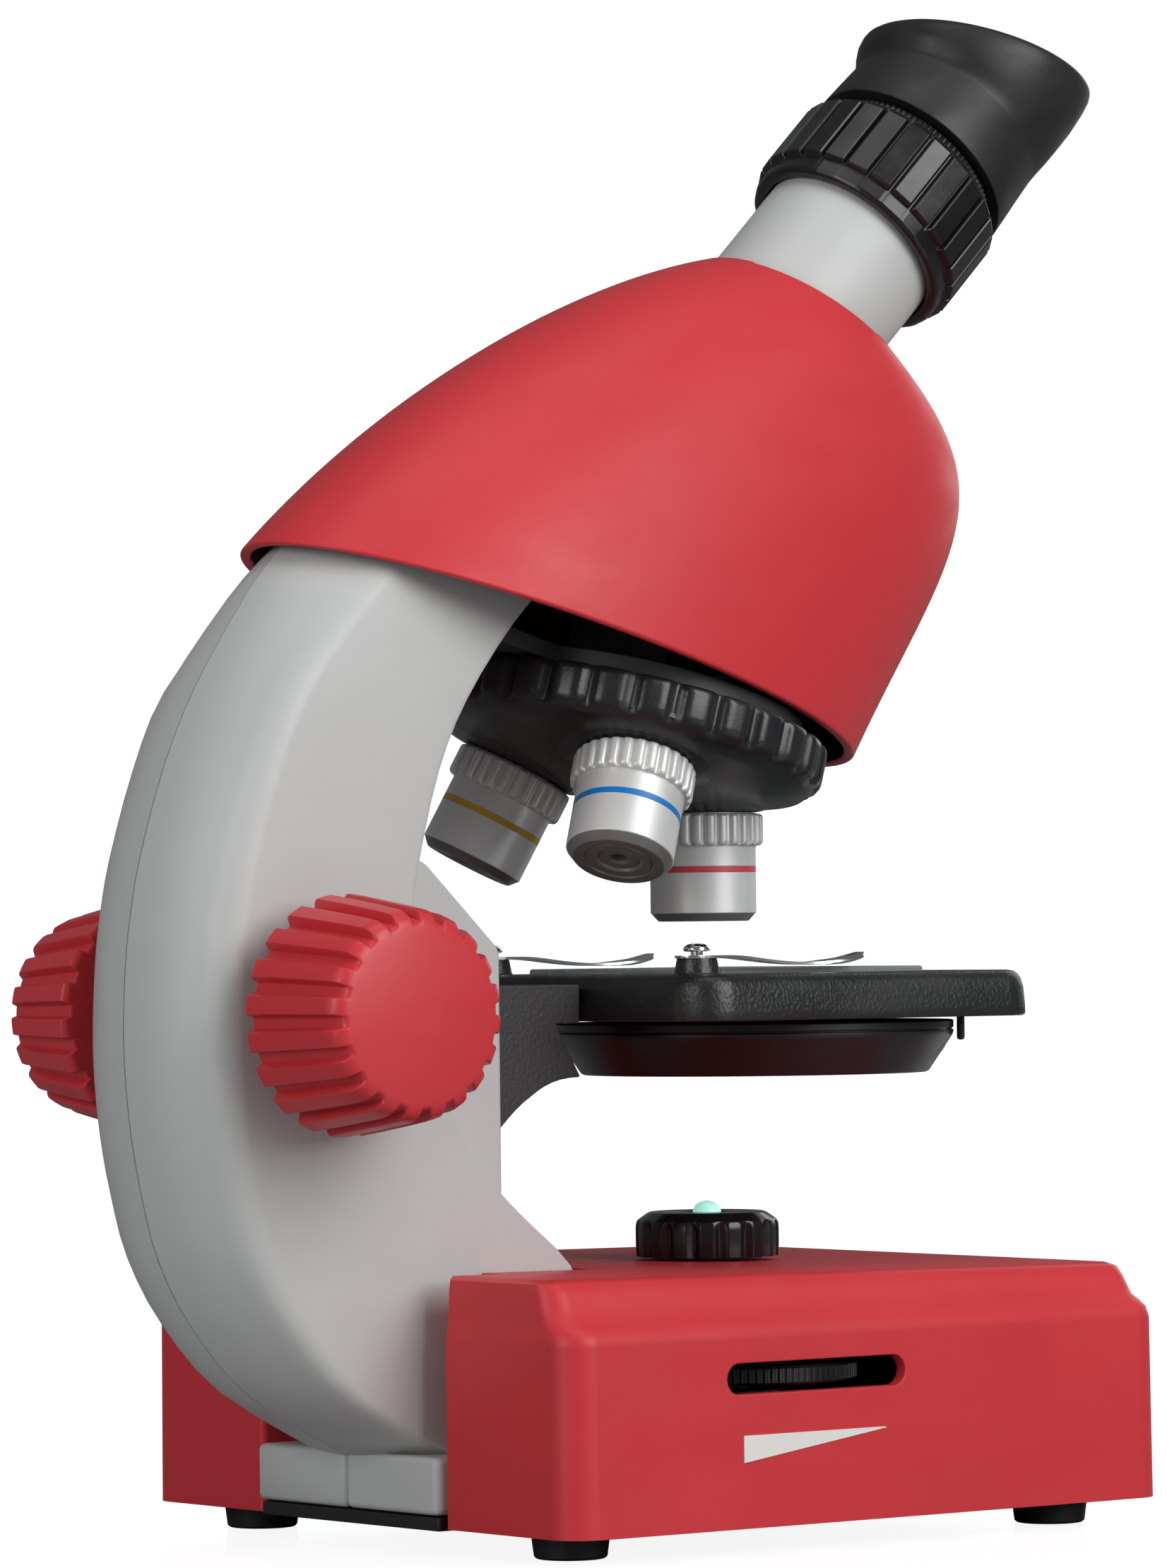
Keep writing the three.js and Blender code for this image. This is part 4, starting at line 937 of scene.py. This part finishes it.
def table_skin(name, rings):
    start(name)
    for inset, height in rings:
        x, front, back = table_x - inset, table_front + inset, table_back - inset
        r = max(3.0, 8.5 - inset)
        rounded_ring([(x - r, back - r, height), (-x + r, back - r, height),
                      (-x + r, front + r, height), (x - r, front + r, height)], r, 64)
    bridge(64, len(rings), True, True)
    close_up()
    return bpy.context.object


stage = table_skin("stage_table", table_rings)
cut_away(stage, table_skin("under", [(2.4, 80), (2.4, 96.9)]))
glass_low, glass_high = node_box("stage_glass")
cut_away(stage, bar("seat", (glass_low.x - 0.25, glass_low.y - 0.25, glass_low.z - 0.3),
                    (glass_high.x + 0.25, glass_high.y + 0.25, 110)))
aperture = turn("aperture", [(0, 80), (9, 80), (9, 110), (0, 110)], 64, 0)
seat(aperture, (0, optical_y, 0))
cut_away(stage, aperture)
bpy.ops.object.mode_set(mode="EDIT")
pick(lambda p: p.z > 100.4 and abs(p.x) < glass_high.x + 0.6
     and glass_low.y - 0.6 < p.y < glass_high.y + 0.6, "EDGE")
bpy.ops.mesh.bevel(offset=0.25 * MM, segments=2, clamp_overlap=True)
bpy.ops.object.mode_set(mode="OBJECT")
shade(stage, 40)
posts = []
for side, joint in ((-1, "clip_left_swing"), (1, "clip_right_swing")):
    post = turn("clip_post", [
        (0, 98), (4.6, 98), (4.6, 100.3), (4.3, 100.5), (4.1, 100.8), (3.55, 103.4), (3.35, 103.6), (0, 103.6),
    ], 48, 0.1)
    posts.append(seat(post, (pivots[joint].x, pivots[joint].y, 0)))
wheel_place = pivots["diaphragm_turn"]
hub = turn("wheel_post", [(1.95, 91.8), (1.95, 97.4), (4.4, 97.4), (4.4, 91.8), (1.95, 91.8)], 40, 0.1)
posts.append(seat(hub, (0, wheel_place.y, 0)))
pointer = bar("wheel_pointer", (37.5, -2, 87.6), (38.9, 2, 97.5), 0.5)
shade(pointer)
posts.append(seat(pointer, (0, wheel_place.y, 0), (-132, "Z")))
join_up(stage, *posts)
done(stage, "stage", "black_plastic", stage_black, "stage_plate")

# Stage insert: a moulded plate of frosted clear plastic, dropped into the seat.
frosted = moulded("frosted_clear", (0.66, 0.74, 0.71), 0.3, mottle=0.04, grain=0.3, depth=0.004,
                  IOR=1.49, Transmission_Weight=0.75)
insert = bar("stage_insert", glass_low, glass_high, 0)
soften(insert, 0.5, 3)
shade(insert)
done(insert, "stage", "optical_glass", frosted, "stage_glass")

# Spring clips: stamped strips of thin spring steel with a spoon-shaped tip, each held on
# its post by a chrome pan-head screw.
clip_line = [
    (4.2, 0.0), (3.2, 0.0), (1.6, 0.0), (-0.5, 0.0), (-2.6, 0.0), (-4.6, 0.0), (-7, -0.03), (-9.5, -0.2), (-12.5, -0.55),
    (-16, -0.95), (-19.5, -1.25), (-23, -1.42), (-26, -1.48), (-28.4, -1.5), (-30.2, -1.5), (-31.8, -1.48),
    (-33.2, -1.42), (-34.5, -1.25), (-35.8, -0.9), (-36.9, -0.45), (-37.7, 0.0), (-38.3, 0.35),
]
clip_half = [0.9, 2.6, 3.5, 3.9, 3.7, 3.3, 2.9, 2.6, 2.4, 2.2, 2.1, 2.1, 2.4, 2.9, 3.2, 3.35, 3.4, 3.3, 3.05, 2.6, 1.9, 1.0]
spoon = [0.0] * 12 + [0.06, 0.2, 0.36, 0.48, 0.55, 0.52, 0.42, 0.3, 0.16, 0.05]
clip_steel = moulded("clip_steel", (0.72, 0.72, 0.73), 0.2, mottle=0.1, gloss=0.1, grain=0.2, depth=0.002,
                     streaks=0.4, Metallic=1.0)
for side, joint, node in ((-1, "clip_left_swing", "stage_clip_left"), (1, "clip_right_swing", "stage_clip_right")):
    start(node + "_strip")
    for x_share in (-1, -0.5, 0, 0.5, 1):
        draw([(half * x_share, y, z + (x_share ** 2) * dish)
              for (y, z), half, dish in zip(clip_line, clip_half, spoon)])
    for row in range(4):
        pick_numbers(range(row * len(clip_line), (row + 2) * len(clip_line)))
        bpy.ops.mesh.bridge_edge_loops()
    close_up(False)
    clip = bpy.context.object
    use_modifier(clip, "SUBSURF", levels=1, render_levels=1)
    use_modifier(clip, "SOLIDIFY", thickness=0.5 * MM, offset=1)
    low = min(v.co.z for v in clip.data.vertices) / MM
    bpy.ops.object.mode_set(mode="EDIT")
    bpy.ops.mesh.select_all(action="SELECT")
    bpy.ops.mesh.normals_make_consistent(inside=False)
    move(z=-2.05 - low)
    bpy.ops.object.mode_set(mode="OBJECT")
    hole = turn("screw_hole", [(0, -4), (1.6, -4), (1.6, 4), (0, 4)], 24, 0)
    cut_away(clip, hole)
    soften(clip, 0.1, 2, 50)
    shade(clip, 40)
    seat(clip, pivots[joint])
    done(clip, "clip_left" if side < 0 else "clip_right", "spring_steel", clip_steel, node)

chrome = moulded("chrome", (0.82, 0.82, 0.84), 0.09, mottle=0.04, gloss=0.05, grain=0.6, depth=0.002, Metallic=1.0)
for joint, node in (("clip_left_swing", "clip_screw_left"), ("clip_right_swing", "clip_screw_right")):
    screw = turn(node + "_pan_head", [
        (0, -3.6), (1.1, -3.6), (1.1, 0.6), (2.1, 0.62), (2.4, 0.8), (2.44, 1.1), (2.25, 1.5), (1.75, 1.85),
        (1.0, 2.05), (0, 2.12),
    ], 48, 0.06)
    for degrees in (20, 110):
        blade = bar("blade", (-1.45, -0.26, 1.3), (1.45, 0.26, 4))
        seat(blade, (0, 0, 0), (degrees, "Z"))
        cut_away(screw, blade)
    point = turn("driver_point", [(0, 0.9), (0.62, 1.6), (0.75, 4), (0, 4)], 4, 0)
    cut_away(screw, seat(point, (0, 0, 0), (20, "Z")))
    shade(screw, 35)
    seat(screw, pivots[joint])
    done(screw, "stage", "chrome", chrome, node)

# Carriage: the black bracket behind the stage, grained like it, that slides in the arm.
bracket_black = moulded("bracket_black", (0.034, 0.034, 0.035), 0.5, mottle=0.2, grain=0.8, depth=0.13)
start("carriage_bracket")
gusset = [(-36, 71), (-45.5, 71), (-47.4, 72.1), (-49.1, 73.5), (-50.6, 74.9), (-52.2, 76.3), (-54.1, 77.7),
          (-56.2, 79), (-57.6, 79.85), (-59.1, 80.6), (-60.8, 81.25), (-62.6, 81.7), (-64.8, 82), (-67.1, 82.1),
          (-61.5, 91.8), (-67, 91.8), (-67, 98.8), (-36, 98.8)]
draw([(-8, behind + y, z) for y, z in gusset], close=True)
bpy.ops.mesh.select_all(action="SELECT")
bpy.ops.mesh.edge_face_add()
pull(x=16)
close_up()
bracket = bpy.context.object
soften(bracket, 0.4, 2, 40)
shade(bracket, 40)
rack_low, rack_high = node_box("focus_rack")
slide = bar("slide", (-8, behind - 38, 71), (8, rack_low.y - 0.3, 104), 0.4)
shade(slide)
join_up(bracket, slide)
done(bracket, "stage", "black_plastic", bracket_black, "stage_carriage")

# Aperture wheel: a black dish under the stage with fine turning lines, six apertures on
# one circle and a white dot on its side; a shouldered screw holds it.
dish_black = moulded("dish_black", (0.014, 0.013, 0.014), 0.34, mottle=0.15, grain=0.8, depth=0.006, streaks=0.16)
dish = turn("aperture_wheel_dish", [
    (0, 83.1), (4.4, 83.1), (4.4, 81.8), (31.8, 81.8), (32.3, 82.1), (36.6, 88.5), (36.85, 89.1), (36.9, 89.5),
    (36.6, 89.65), (36.6, 89.85), (36.9, 90.0), (36.9, 91.2), (36.7, 91.4), (33.6, 91.4), (30.4, 84.2), (3.6, 84.2),
    (3.6, 91.4), (0, 91.4),
], 120, 0.12)
seat(dish, (0, wheel_place.y, 0))
reach = optical_y - wheel_place.y
for number in range(6):
    angle = math.pi / 2 + number * math.pi / 3
    hole = turn("hole", [(0, 75), (1.5 + 0.6 * number, 75), (1.5 + 0.6 * number, 95), (0, 95)], 40, 0)
    seat(hole, (reach * math.cos(angle), wheel_place.y + reach * math.sin(angle), 0))
    cut_away(dish, hole)
bore = turn("bore", [(0, 75), (1.9, 75), (1.9, 95), (0, 95)], 32, 0)
cut_away(dish, seat(bore, (0, wheel_place.y, 0)))
shade(dish, 30)
done(dish, "diaphragm", "black_plastic", dish_black, "diaphragm_wheel")
dot = turn("aperture_wheel_dot", [(0, 0.12), (0.55, 0.12), (0.75, 0.0), (0.75, -0.2), (0, -0.2)], 24, 0.04)
dot_angle = -128
seat(dot, (34.9 * math.cos(math.radians(dot_angle)), wheel_place.y + 34.9 * math.sin(math.radians(dot_angle)), 86.0),
     (dot_angle, "Z"), (90 + 33.5, "Y"))
done(dot, "diaphragm", "black_plastic", white_ink)

wheel_screw = turn("wheel_shoulder_screw", [
    (0, 81.9), (3.6, 81.9), (3.9, 82.05), (4, 82.3), (4, 82.8), (1.6, 82.8), (1.6, 96.2), (0, 96.2),
], 40, 0.15)
seat(wheel_screw, (0, wheel_place.y, 0))
slot_cut = bar("slot_cut", (-5, -0.4, 80), (5, 0.4, 82.3))
cut_away(wheel_screw, seat(slot_cut, (0, wheel_place.y, 0), (35, "Z")))
done(wheel_screw, "stage", "steel", plated_steel, "wheel_screw")

# Turret: a black moulded disc with 28 soft flutes and a shallow cone below, square to the
# three objectives that are pressed into it. It turns on a steel pin, tilted to the front.
apex = pivots["turret_turn"]
tilt = 16
shoulder = -74.0


def cone(radius):
    """Height of the turret's underside at this radius, below the pivot's zero."""
    low = shoulder * math.cos(math.radians(tilt))
    return low + (radius + shoulder * math.sin(math.radians(tilt))) * math.tan(math.radians(tilt)) + 0.3


satin_black = moulded("satin_black", (0.013, 0.013, 0.014), 0.32, mottle=0.2, gloss=0.08, grain=0.5, depth=0.03)
flute = [(0.0, 2), (0.1, 2), (0.2, 1), (0.28, 0), (0.44, 0), (0.62, 0), (0.78, 0), (0.88, 1)]
turret = ribbed("turret", 28, flute, [
    (cone(5), 2.8, 2.8, 2.8), (cone(5), 5, 5, 5), (cone(12), 12, 12, 12), (cone(22), 22, 22, 22), (cone(31), 31, 31, 31),
    (cone(34.2) + 0.15, 34.0, 34.0, 34.0), (-65.7, 34.9, 34.9, 34.9), (-65.1, 35.9, 35.4, 35.0),
    (-64.3, 36.35, 35.8, 35.1), (-63.4, 36.5, 35.9, 35.1), (-59.3, 36.5, 35.9, 35.1), (-58.4, 36.3, 35.8, 35.0),
    (-57.9, 35.8, 35.4, 34.8), (-57.8, 35.0, 34.9, 34.5), (-57.8, 32.2, 32.2, 32.2), (cone(31.8) + 2.6, 31.8, 31.8, 31.8),
    (cone(6) + 2.6, 6, 6, 6), (-57.8, 6, 6, 6), (-57.8, 2.8, 2.8, 2.8),
], 0, 48, False, False)
sockets = []
for number in range(3):
    socket = turn("socket", [(8.35, -66.5), (8.35, -73.95), (10.3, -73.95), (11.3, -73.75), (12.4, -73.2), (14.2, -72.4),
                             (16.4, -71.6), (16.4, -70.4), (12, -66.5), (8.35, -66.5)], 64, 0)
    sockets.append(seat(socket, (0, 0, 0), (120 * number, "Z"), (-tilt, "X")))
join_up(turret, *sockets)
seat(turret, apex, (tilt, "X"))
done(turret, "turret", "black_plastic", satin_black, "turret_disc")

pin = turn("turret_pin", [
    (0, -77.9), (3.2, -77.9), (3.9, -77.6), (4.5, -77.0), (4.6, -76.0), (2.4, -75.9), (2.4, -53.4), (0, -53.4),
], 48, 0.12)
seat(pin, apex, (tilt, "X"))
done(pin, "stand", "steel", plated_steel, "turret_pivot")

# Objectives: turned aluminium with a satin finish, a straight knurl to grip, a paint-filled
# groove in its own colour, and a turned nose with a pinhole in front of the lens, coloured
# darker grey as painted shade for its downward-facing tip.
satin_silver = moulded("satin_silver", (0.74, 0.745, 0.735), 0.38, mottle=0.05, gloss=0.06, grain=0.24, depth=0.009,
                       Metallic=0.3)
# The nose's darker grey is painted shade: its tip faces down into the shadow and the dark stage below.
nose_painted_shade = moulded("nose_painted_shade", (0.2, 0.205, 0.19), 0.38, mottle=0.12, grain=0.22, depth=0.006, Metallic=0.3)
clear_glass = moulded("clear_glass", (0.92, 0.96, 0.95), 0.05, mottle=0.01, gloss=0.02, grain=0.6, depth=0.001,
                      IOR=1.52, Transmission_Weight=1.0)
grip_rib = [(0.0, 2), (0.16, 2), (0.28, 1), (0.42, 0), (0.6, 0), (0.76, 0), (0.88, 1)]
bands = {
    "low": (0.62, 0.06, 0.09),
    "middle": (0.68, 0.42, 0.01),
    "high": (0.0, 0.2, 0.6),
}
for number, (power, colour) in enumerate(bands.items()):
    lean = ((tilt, "X"), (120 * number, "Z"), (-tilt, "X"))
    barrel = turn(f"objective_{power}_barrel", [
        (4.4, -88.6), (4.4, -69), (8, -69), (8, -74), (9.9, -74.1), (9.9, -80.2), (9.75, -80.6), (9.75, -83.9),
        (9.62, -83.95), (9.62, -85.05), (9.75, -85.1), (9.75, -92.45), (9.6, -92.6), (6.6, -92.6), (6.6, -88.6), (4.4, -88.6),
    ], 96, 0.06)
    knurl = ribbed("knurl", 28, grip_rib, [
        (-80.1, 9.4, 9.4, 9.4), (-80.1, 10.6, 10.5, 10.3), (-79.75, 11.0, 10.8, 10.35), (-79.2, 11.15, 10.95, 10.4),
        (-74.9, 11.15, 10.95, 10.4), (-74.5, 10.95, 10.8, 10.35), (-74.3, 10.5, 10.4, 10.3), (-74.2, 9.4, 9.4, 9.4),
    ], 0, 50, False, False)
    join_up(barrel, knurl)
    seat(barrel, apex, *lean)
    done(barrel, "turret", "satin_silver", satin_silver, f"objective_{power}")
    nose = turn(f"objective_{power}_nose", [
        (1.6, -88.7), (1.6, -93.2), (1.85, -93.45), (3.3, -93.45), (3.4, -93.3), (3.9, -93.3), (4.05, -93.7), (4.3, -93.85),
        (5.9, -93.85), (6.0, -93.65), (6.2, -93.65), (6.35, -93.95), (6.6, -94.0), (8.15, -94.0), (8.4, -93.9),
        (9.55, -92.62), (6.5, -92.62), (6.5, -88.7), (1.6, -88.7),
    ], 96, 0.05)
    seat(nose, apex, *lean)
    done(nose, "turret", "satin_silver", nose_painted_shade)
    paint = moulded(f"band_{power}", colour, 0.38, mottle=0.06, grain=0.25, depth=0.01)
    band = turn(f"objective_{power}_band", [(9.55, -83.98), (9.77, -83.98), (9.77, -85.02), (9.55, -85.02), (9.55, -83.98)],
                96, 0)
    seat(band, apex, *lean)
    done(band, "turret", "satin_silver", paint)
    lens = turn(f"objective_lens_{power}_glass", [
        (0, -88.2), (1.2, -88.12), (2.4, -87.92), (3.3, -87.65), (4, -87.3), (4, -86.5), (2.9, -86.1), (1.5, -85.86), (0, -85.8),
    ], 48, 0)
    seat(lens, apex, *lean)
    done(lens, "turret", "optical_glass", clear_glass, f"objective_lens_{power}")

# Head plate: a light grey disc that closes the arm above the turret and holds its pin.
# Its colour is painted near-black, as painted shade from the hood above it.
plate_disc = turn("head_plate_disc", [(0, -57.2), (31, -57.2), (31, -54.2), (0, -54.2)], 96, 0.3)
tongue = bar("tongue", (-12, 20, -57.2), (12, 43, -54.2))
add_on(plate_disc, tongue)
light_path = turn("light_path", [(0, -70), (7, -70), (7, -40), (0, -40)], 48, 0)
cut_away(plate_disc, seat(light_path, (0, -16.2, 0)))
pin_hole = turn("pin_hole", [(0, -70), (2.75, -70), (2.75, -40), (0, -40)], 32, 0)
cut_away(plate_disc, pin_hole)
shade(plate_disc, 40)
seat(plate_disc, apex, (tilt, "X"))
# Near-black instead of the plate's light grey: painted shade for the shadow the hood casts on it.
plate_painted_shade = moulded("plate_painted_shade", (0.05, 0.05, 0.05), 0.5, mottle=0.1, grain=0.6, depth=0.02)
done(plate_disc, "stand", "grey_plastic", plate_painted_shade, "head_plate")

# Hood: one red ABS shell over the head, oval in section, that narrows from its open rim
# to the eyepiece. It is 2.2 mm thick at the rim, whose edge is rounded, and 1.6 at the neck.
hood_back = [(-3.4, 177.2), (-31.4, 204.5), (-74.1, 227.0), (-106.3, 232.8)]
hood_front = [(-131.7, 138.4), (-152.8, 172.4), (-175.4, 188.7), (-145.7, 208.2)]
hood_side = [36.8, 34.0, 27.6, 19.8]


def along(points, share):
    """A point part of the way along a cubic curve with these four handles."""
    rest = 1 - share
    weights = (rest ** 3, 3 * rest * rest * share, 3 * rest * share * share, share ** 3)
    if isinstance(points[0], tuple):
        return Vector([sum(w * p[k] for w, p in zip(weights, points)) for k in (0, 1)])
    return sum(w * p for w, p in zip(weights, points))


def oval(count, middle, half_length, half_width, lean):
    """A ring of points: an oval about a middle, leaning back by so many degrees."""
    bpy.ops.mesh.select_all(action="DESELECT")
    bpy.ops.mesh.primitive_circle_add(
        vertices=count, radius=half_length * MM, location=Vector(middle) * MM, rotation=(math.radians(lean), 0, 0)
    )
    stretch(half_width / half_length, 1, 1, middle)


def hood_ring(share, inset):
    back_edge, front_edge = along(hood_back, share), along(hood_front, share)
    middle = (back_edge + front_edge) / 2
    half = (back_edge - front_edge) / 2
    oval(112, (0, middle.x + behind, middle.y), half.length - inset, along(hood_side, share) - inset,
         math.degrees(math.atan2(half.y, half.x)))


start("hood_shell")
hood_steps = 34
for step in range(hood_steps + 1):
    hood_ring(step / hood_steps, 0)
for step in range(hood_steps, -1, -1):
    hood_ring(min(max(step / hood_steps, 0.001), 0.999), 1.6 + 0.6 * (1 - step / hood_steps))
hood_rings = 2 * hood_steps + 2
bridge(112, hood_rings)
pick_numbers([*range(112), *range((hood_rings - 1) * 112, hood_rings * 112)])
bpy.ops.mesh.bridge_edge_loops()
close_up()
hood = bpy.context.object
soften(hood, 0.75, 4, 50)
shade(hood, 60)
done(hood, "stand", "red_plastic", red_abs, "head_hood")
# The hood's inner faces get a near-black red: painted shade for the deep shadow inside the hood. The loop below picks
# the faces that look in towards the hood's spine.
hood_inside_painted_shade = moulded("hood_inside_painted_shade", (0.05, 0.006, 0.007), 0.6, mottle=0.1, grain=0.9, depth=0.01, Specular_IOR_Level=0.1)
hood.data.materials.append(hood_inside_painted_shade)
hood.select_set(True)
bpy.context.view_layer.objects.active = hood
bpy.ops.object.mode_set(mode="EDIT")
inner = bmesh.from_edit_mesh(hood.data)
bpy.ops.mesh.select_mode(type="FACE")
bpy.ops.mesh.select_all(action="DESELECT")
spine = [(along(hood_back, n / 20) + along(hood_front, n / 20)) / 2 for n in range(21)]
for face in inner.faces:
    spot = face.calc_center_median() / MM
    core = min(spine, key=lambda p: abs(p.x + behind - spot.y) + abs(p.y - spot.z))
    if face.normal.dot(Vector((0, core.x + behind, core.y)) - spot) > 0.35 * (Vector((0, core.x + behind, core.y)) - spot).length:
        face.select_set(True)
hood.active_material_index = 1
bpy.ops.object.material_slot_assign()
bpy.ops.object.mode_set(mode="OBJECT")

# Web in the hood's mouth: a thin red wall of the same moulding, a little below the edge of
# the mouth, that closes the gap between the oval mouth and the round eyepiece tube.
mouth_back, mouth_front = along(hood_back, 1), along(hood_front, 1)
lengthwise = (mouth_back - mouth_front).normalized()
outwards = Vector((-lengthwise.y, lengthwise.x))
start("hood_web")
# Rings round the web: shift to the back, half length, half width and height over the mouth.
web_rings = [(0, 22.3, 18.9, -2.2), (0, 22.3, 18.9, -0.8), (2.6, 18.2, 17.75, -1.2),
             (2.6, 18.2, 17.75, -2.6), (0, 22.3, 18.9, -2.2)]
for shift, half_length, half_width, height in web_rings:
    middle = (mouth_back + mouth_front) / 2 + lengthwise * shift + outwards * height
    oval(112, (0, middle.x + behind, middle.y), half_length, half_width,
         math.degrees(math.atan2(lengthwise.y, lengthwise.x)))
bridge(112, len(web_rings))
close_up()
web = bpy.context.object
shade(web, 40)
done(web, "stand", "red_plastic", red_abs)

# Eyepiece tube: light grey, turned smooth, at 45 degrees in the mouth of the hood.
ocular = pivots["zoom_turn"]
recline = (45, "X")
eye_tube = turn("eyepiece_tube_sleeve", [(15.4, -38), (17.5, -38), (17.5, 4), (15.4, 4), (15.4, -38)], 120, 0.3)
seat(eye_tube, ocular, recline)
done(eye_tube, "stand", "grey_plastic", grey_abs, "eyepiece_tube")

# Zoom ring: black ABS with a polished finish, a plain collar below and 26 flat panels to
# grip, each with a raised edge and a little hook at its foot.
polished_black = moulded("polished_black", (0.009, 0.009, 0.009), 0.25, mottle=0.2, gloss=0.1, grain=0.5, depth=0.012)
panel = [(0.0, 2), (0.07, 2), (0.11, 1), (0.16, 0), (0.9, 0), (0.95, 1)]
zoom_ring = ribbed("zoom_ring_grip", 26, panel, [
    (-2.1, 18.0, 18.0, 18.0), (-2.5, 18.4, 18.4, 18.4), (-2.5, 19.5, 19.5, 19.5), (-2.2, 20.05, 20.05, 20.05),
    (-1.7, 20.4, 20.4, 20.4), (0.95, 20.45, 20.45, 20.4), (1.2, 21.2, 20.9, 20.4), (1.6, 21.7, 21.4, 20.5),
    (15.6, 21.7, 21.4, 20.5), (16.1, 21.3, 21.0, 20.4), (16.4, 20.5, 20.45, 20.35), (17.1, 20.3, 20.3, 20.3),
    (17.5, 19.8, 19.8, 19.8), (17.5, 14.6, 14.6, 14.6), (4.6, 14.6, 14.6, 14.6), (4.6, 18.0, 18.0, 18.0),
], 0.09, 30, False, False)
seat(zoom_ring, ocular, recline)
done(zoom_ring, "zoom_collar", "black_plastic", polished_black, "zoom_ring")

# Zoom cell and eye lens: two glass lenses in black holders inside the tube. The holder's
# flange has a fine rolled edge, which shows between the zoom ring and the eyecup.
cell_tube = turn("zoom_cell_tube", [(9.9, -12), (11.8, -12), (11.8, 3.4), (9.9, 3.4), (9.9, -12)], 72, 0.2)
seat(cell_tube, ocular, recline)
done(cell_tube, "zoom_cell", "black_plastic", black_abs, "zoom_lens_cell")
zoom_glass = turn("zoom_lens_glass", [
    (0, -8.4), (3, -8.2), (6, -7.65), (8, -7.05), (9.5, -6.4), (9.5, -4.4), (8, -3.75), (6, -3.15), (3, -2.6), (0, -2.4),
], 64, 0)
seat(zoom_glass, ocular, recline)
done(zoom_glass, "zoom_cell", "optical_glass", clear_glass, "zoom_lens")
holder = turn("eye_lens_holder_body", [
    (12.4, -17), (15, -17), (15, -14), (14.2, -14), (14.2, 17.8), (18.2, 17.8), (18.2, 19.6), (16.4, 19.6),
    (16.4, 26), (12.4, 26), (12.4, -17),
], 96, 0.15)
rolled = [(0.0, 2), (0.25, 1), (0.4, 0), (0.6, 0), (0.75, 1)]
flange = ribbed("flange_edge", 96, rolled, [
    (17.85, 17.9, 17.9, 17.9), (18.1, 18.55, 18.4, 18.2), (19.3, 18.55, 18.4, 18.2), (19.55, 17.9, 17.9, 17.9),
], 0, 30, False, False)
join_up(holder, flange)
seat(holder, ocular, recline)
done(holder, "stand", "black_plastic", black_abs, "eye_lens_holder")
eye_glass = turn("eye_lens_glass", [
    (0, 17), (4, 17.25), (8, 18), (10.3, 18.8), (11.9, 19.6), (11.9, 21.6), (10.3, 22.3), (8, 23), (4, 23.6), (0, 23.8),
], 64, 0)
seat(eye_glass, ocular, recline)
done(eye_glass, "stand", "optical_glass", clear_glass, "eye_lens")

# Eyecup: soft black rubber. A sleeve grips the holder, then it flares to an oval rim that
# leans towards the cheek and is rolled at its edge.
cup_rubber = moulded("cup_rubber", (0.013, 0.0125, 0.013), 0.5, mottle=0.35, patch=60, gloss=0.12, grain=0.45, depth=0.02)
# Stations up the outside: height, lean, half length, half width, shift to the back.
cup_stations = [(19.9, 0, 20.1, 20.1, 0), (20.3, 0, 20.35, 20.35, 0), (24, 0, 20.15, 20.15, 0), (28.5, 0, 19.85, 19.85, 0),
                (32.4, -0.04, 19.6, 19.6, 0), (33.6, -0.07, 19.55, 19.62, 0.05), (35.2, -0.12, 19.75, 20.1, 0.25), (37, -0.17, 20.1, 20.75, 0.5),
                (39, -0.23, 20.4, 21.35, 0.8), (42, -0.32, 20.65, 21.95, 1.15), (45, -0.4, 20.5, 22.3, 1.5),
                (46.7, -0.446, 20.2, 22.3, 1.7), (47.5, -0.456, 19.8, 22.1, 1.75), (47.9, -0.456, 19.3, 21.7, 1.8),
                (47.8, -0.456, 18.9, 21.3, 1.8), (47.4, -0.456, 18.4, 20.75, 1.8), (45, -0.4, 18.25, 20.0, 1.5),
                (42, -0.32, 18.15, 19.25, 1.1), (39, -0.23, 17.9, 18.6, 0.7), (36, -0.14, 17.7, 18.05, 0.3),
                (33, -0.06, 17.4, 17.4, 0), (28, 0, 16.9, 16.9, 0), (20.0, 0, 16.9, 16.9, 0)]
start("eyecup_rubber")
for height, lean, half_length, half_width, shift in cup_stations:
    long_half = half_length * math.hypot(1, lean)
    oval(96, (0, shift, height), long_half, half_width, math.degrees(math.atan(lean)))
bridge(96, len(cup_stations))
pick_numbers([*range(96), *range((len(cup_stations) - 1) * 96, len(cup_stations) * 96)])
bpy.ops.mesh.bridge_edge_loops()
close_up()
eyecup = bpy.context.object
shade(eyecup, 60)
seat(eyecup, ocular, recline)
done(eyecup, "stand", "black_rubber", cup_rubber, "eyecup")

# Prism: a right-angled block of clear glass in a black carrier that stands on the head
# plate, open below to the light and above to the eyepiece.
done(refined("prism_glass", "prism", 0.25), "stand", "optical_glass", clear_glass, "prism")
done(refined("prism_carrier", "prism_holder", 0.25), "stand", "black_plastic", black_abs, "prism_holder")
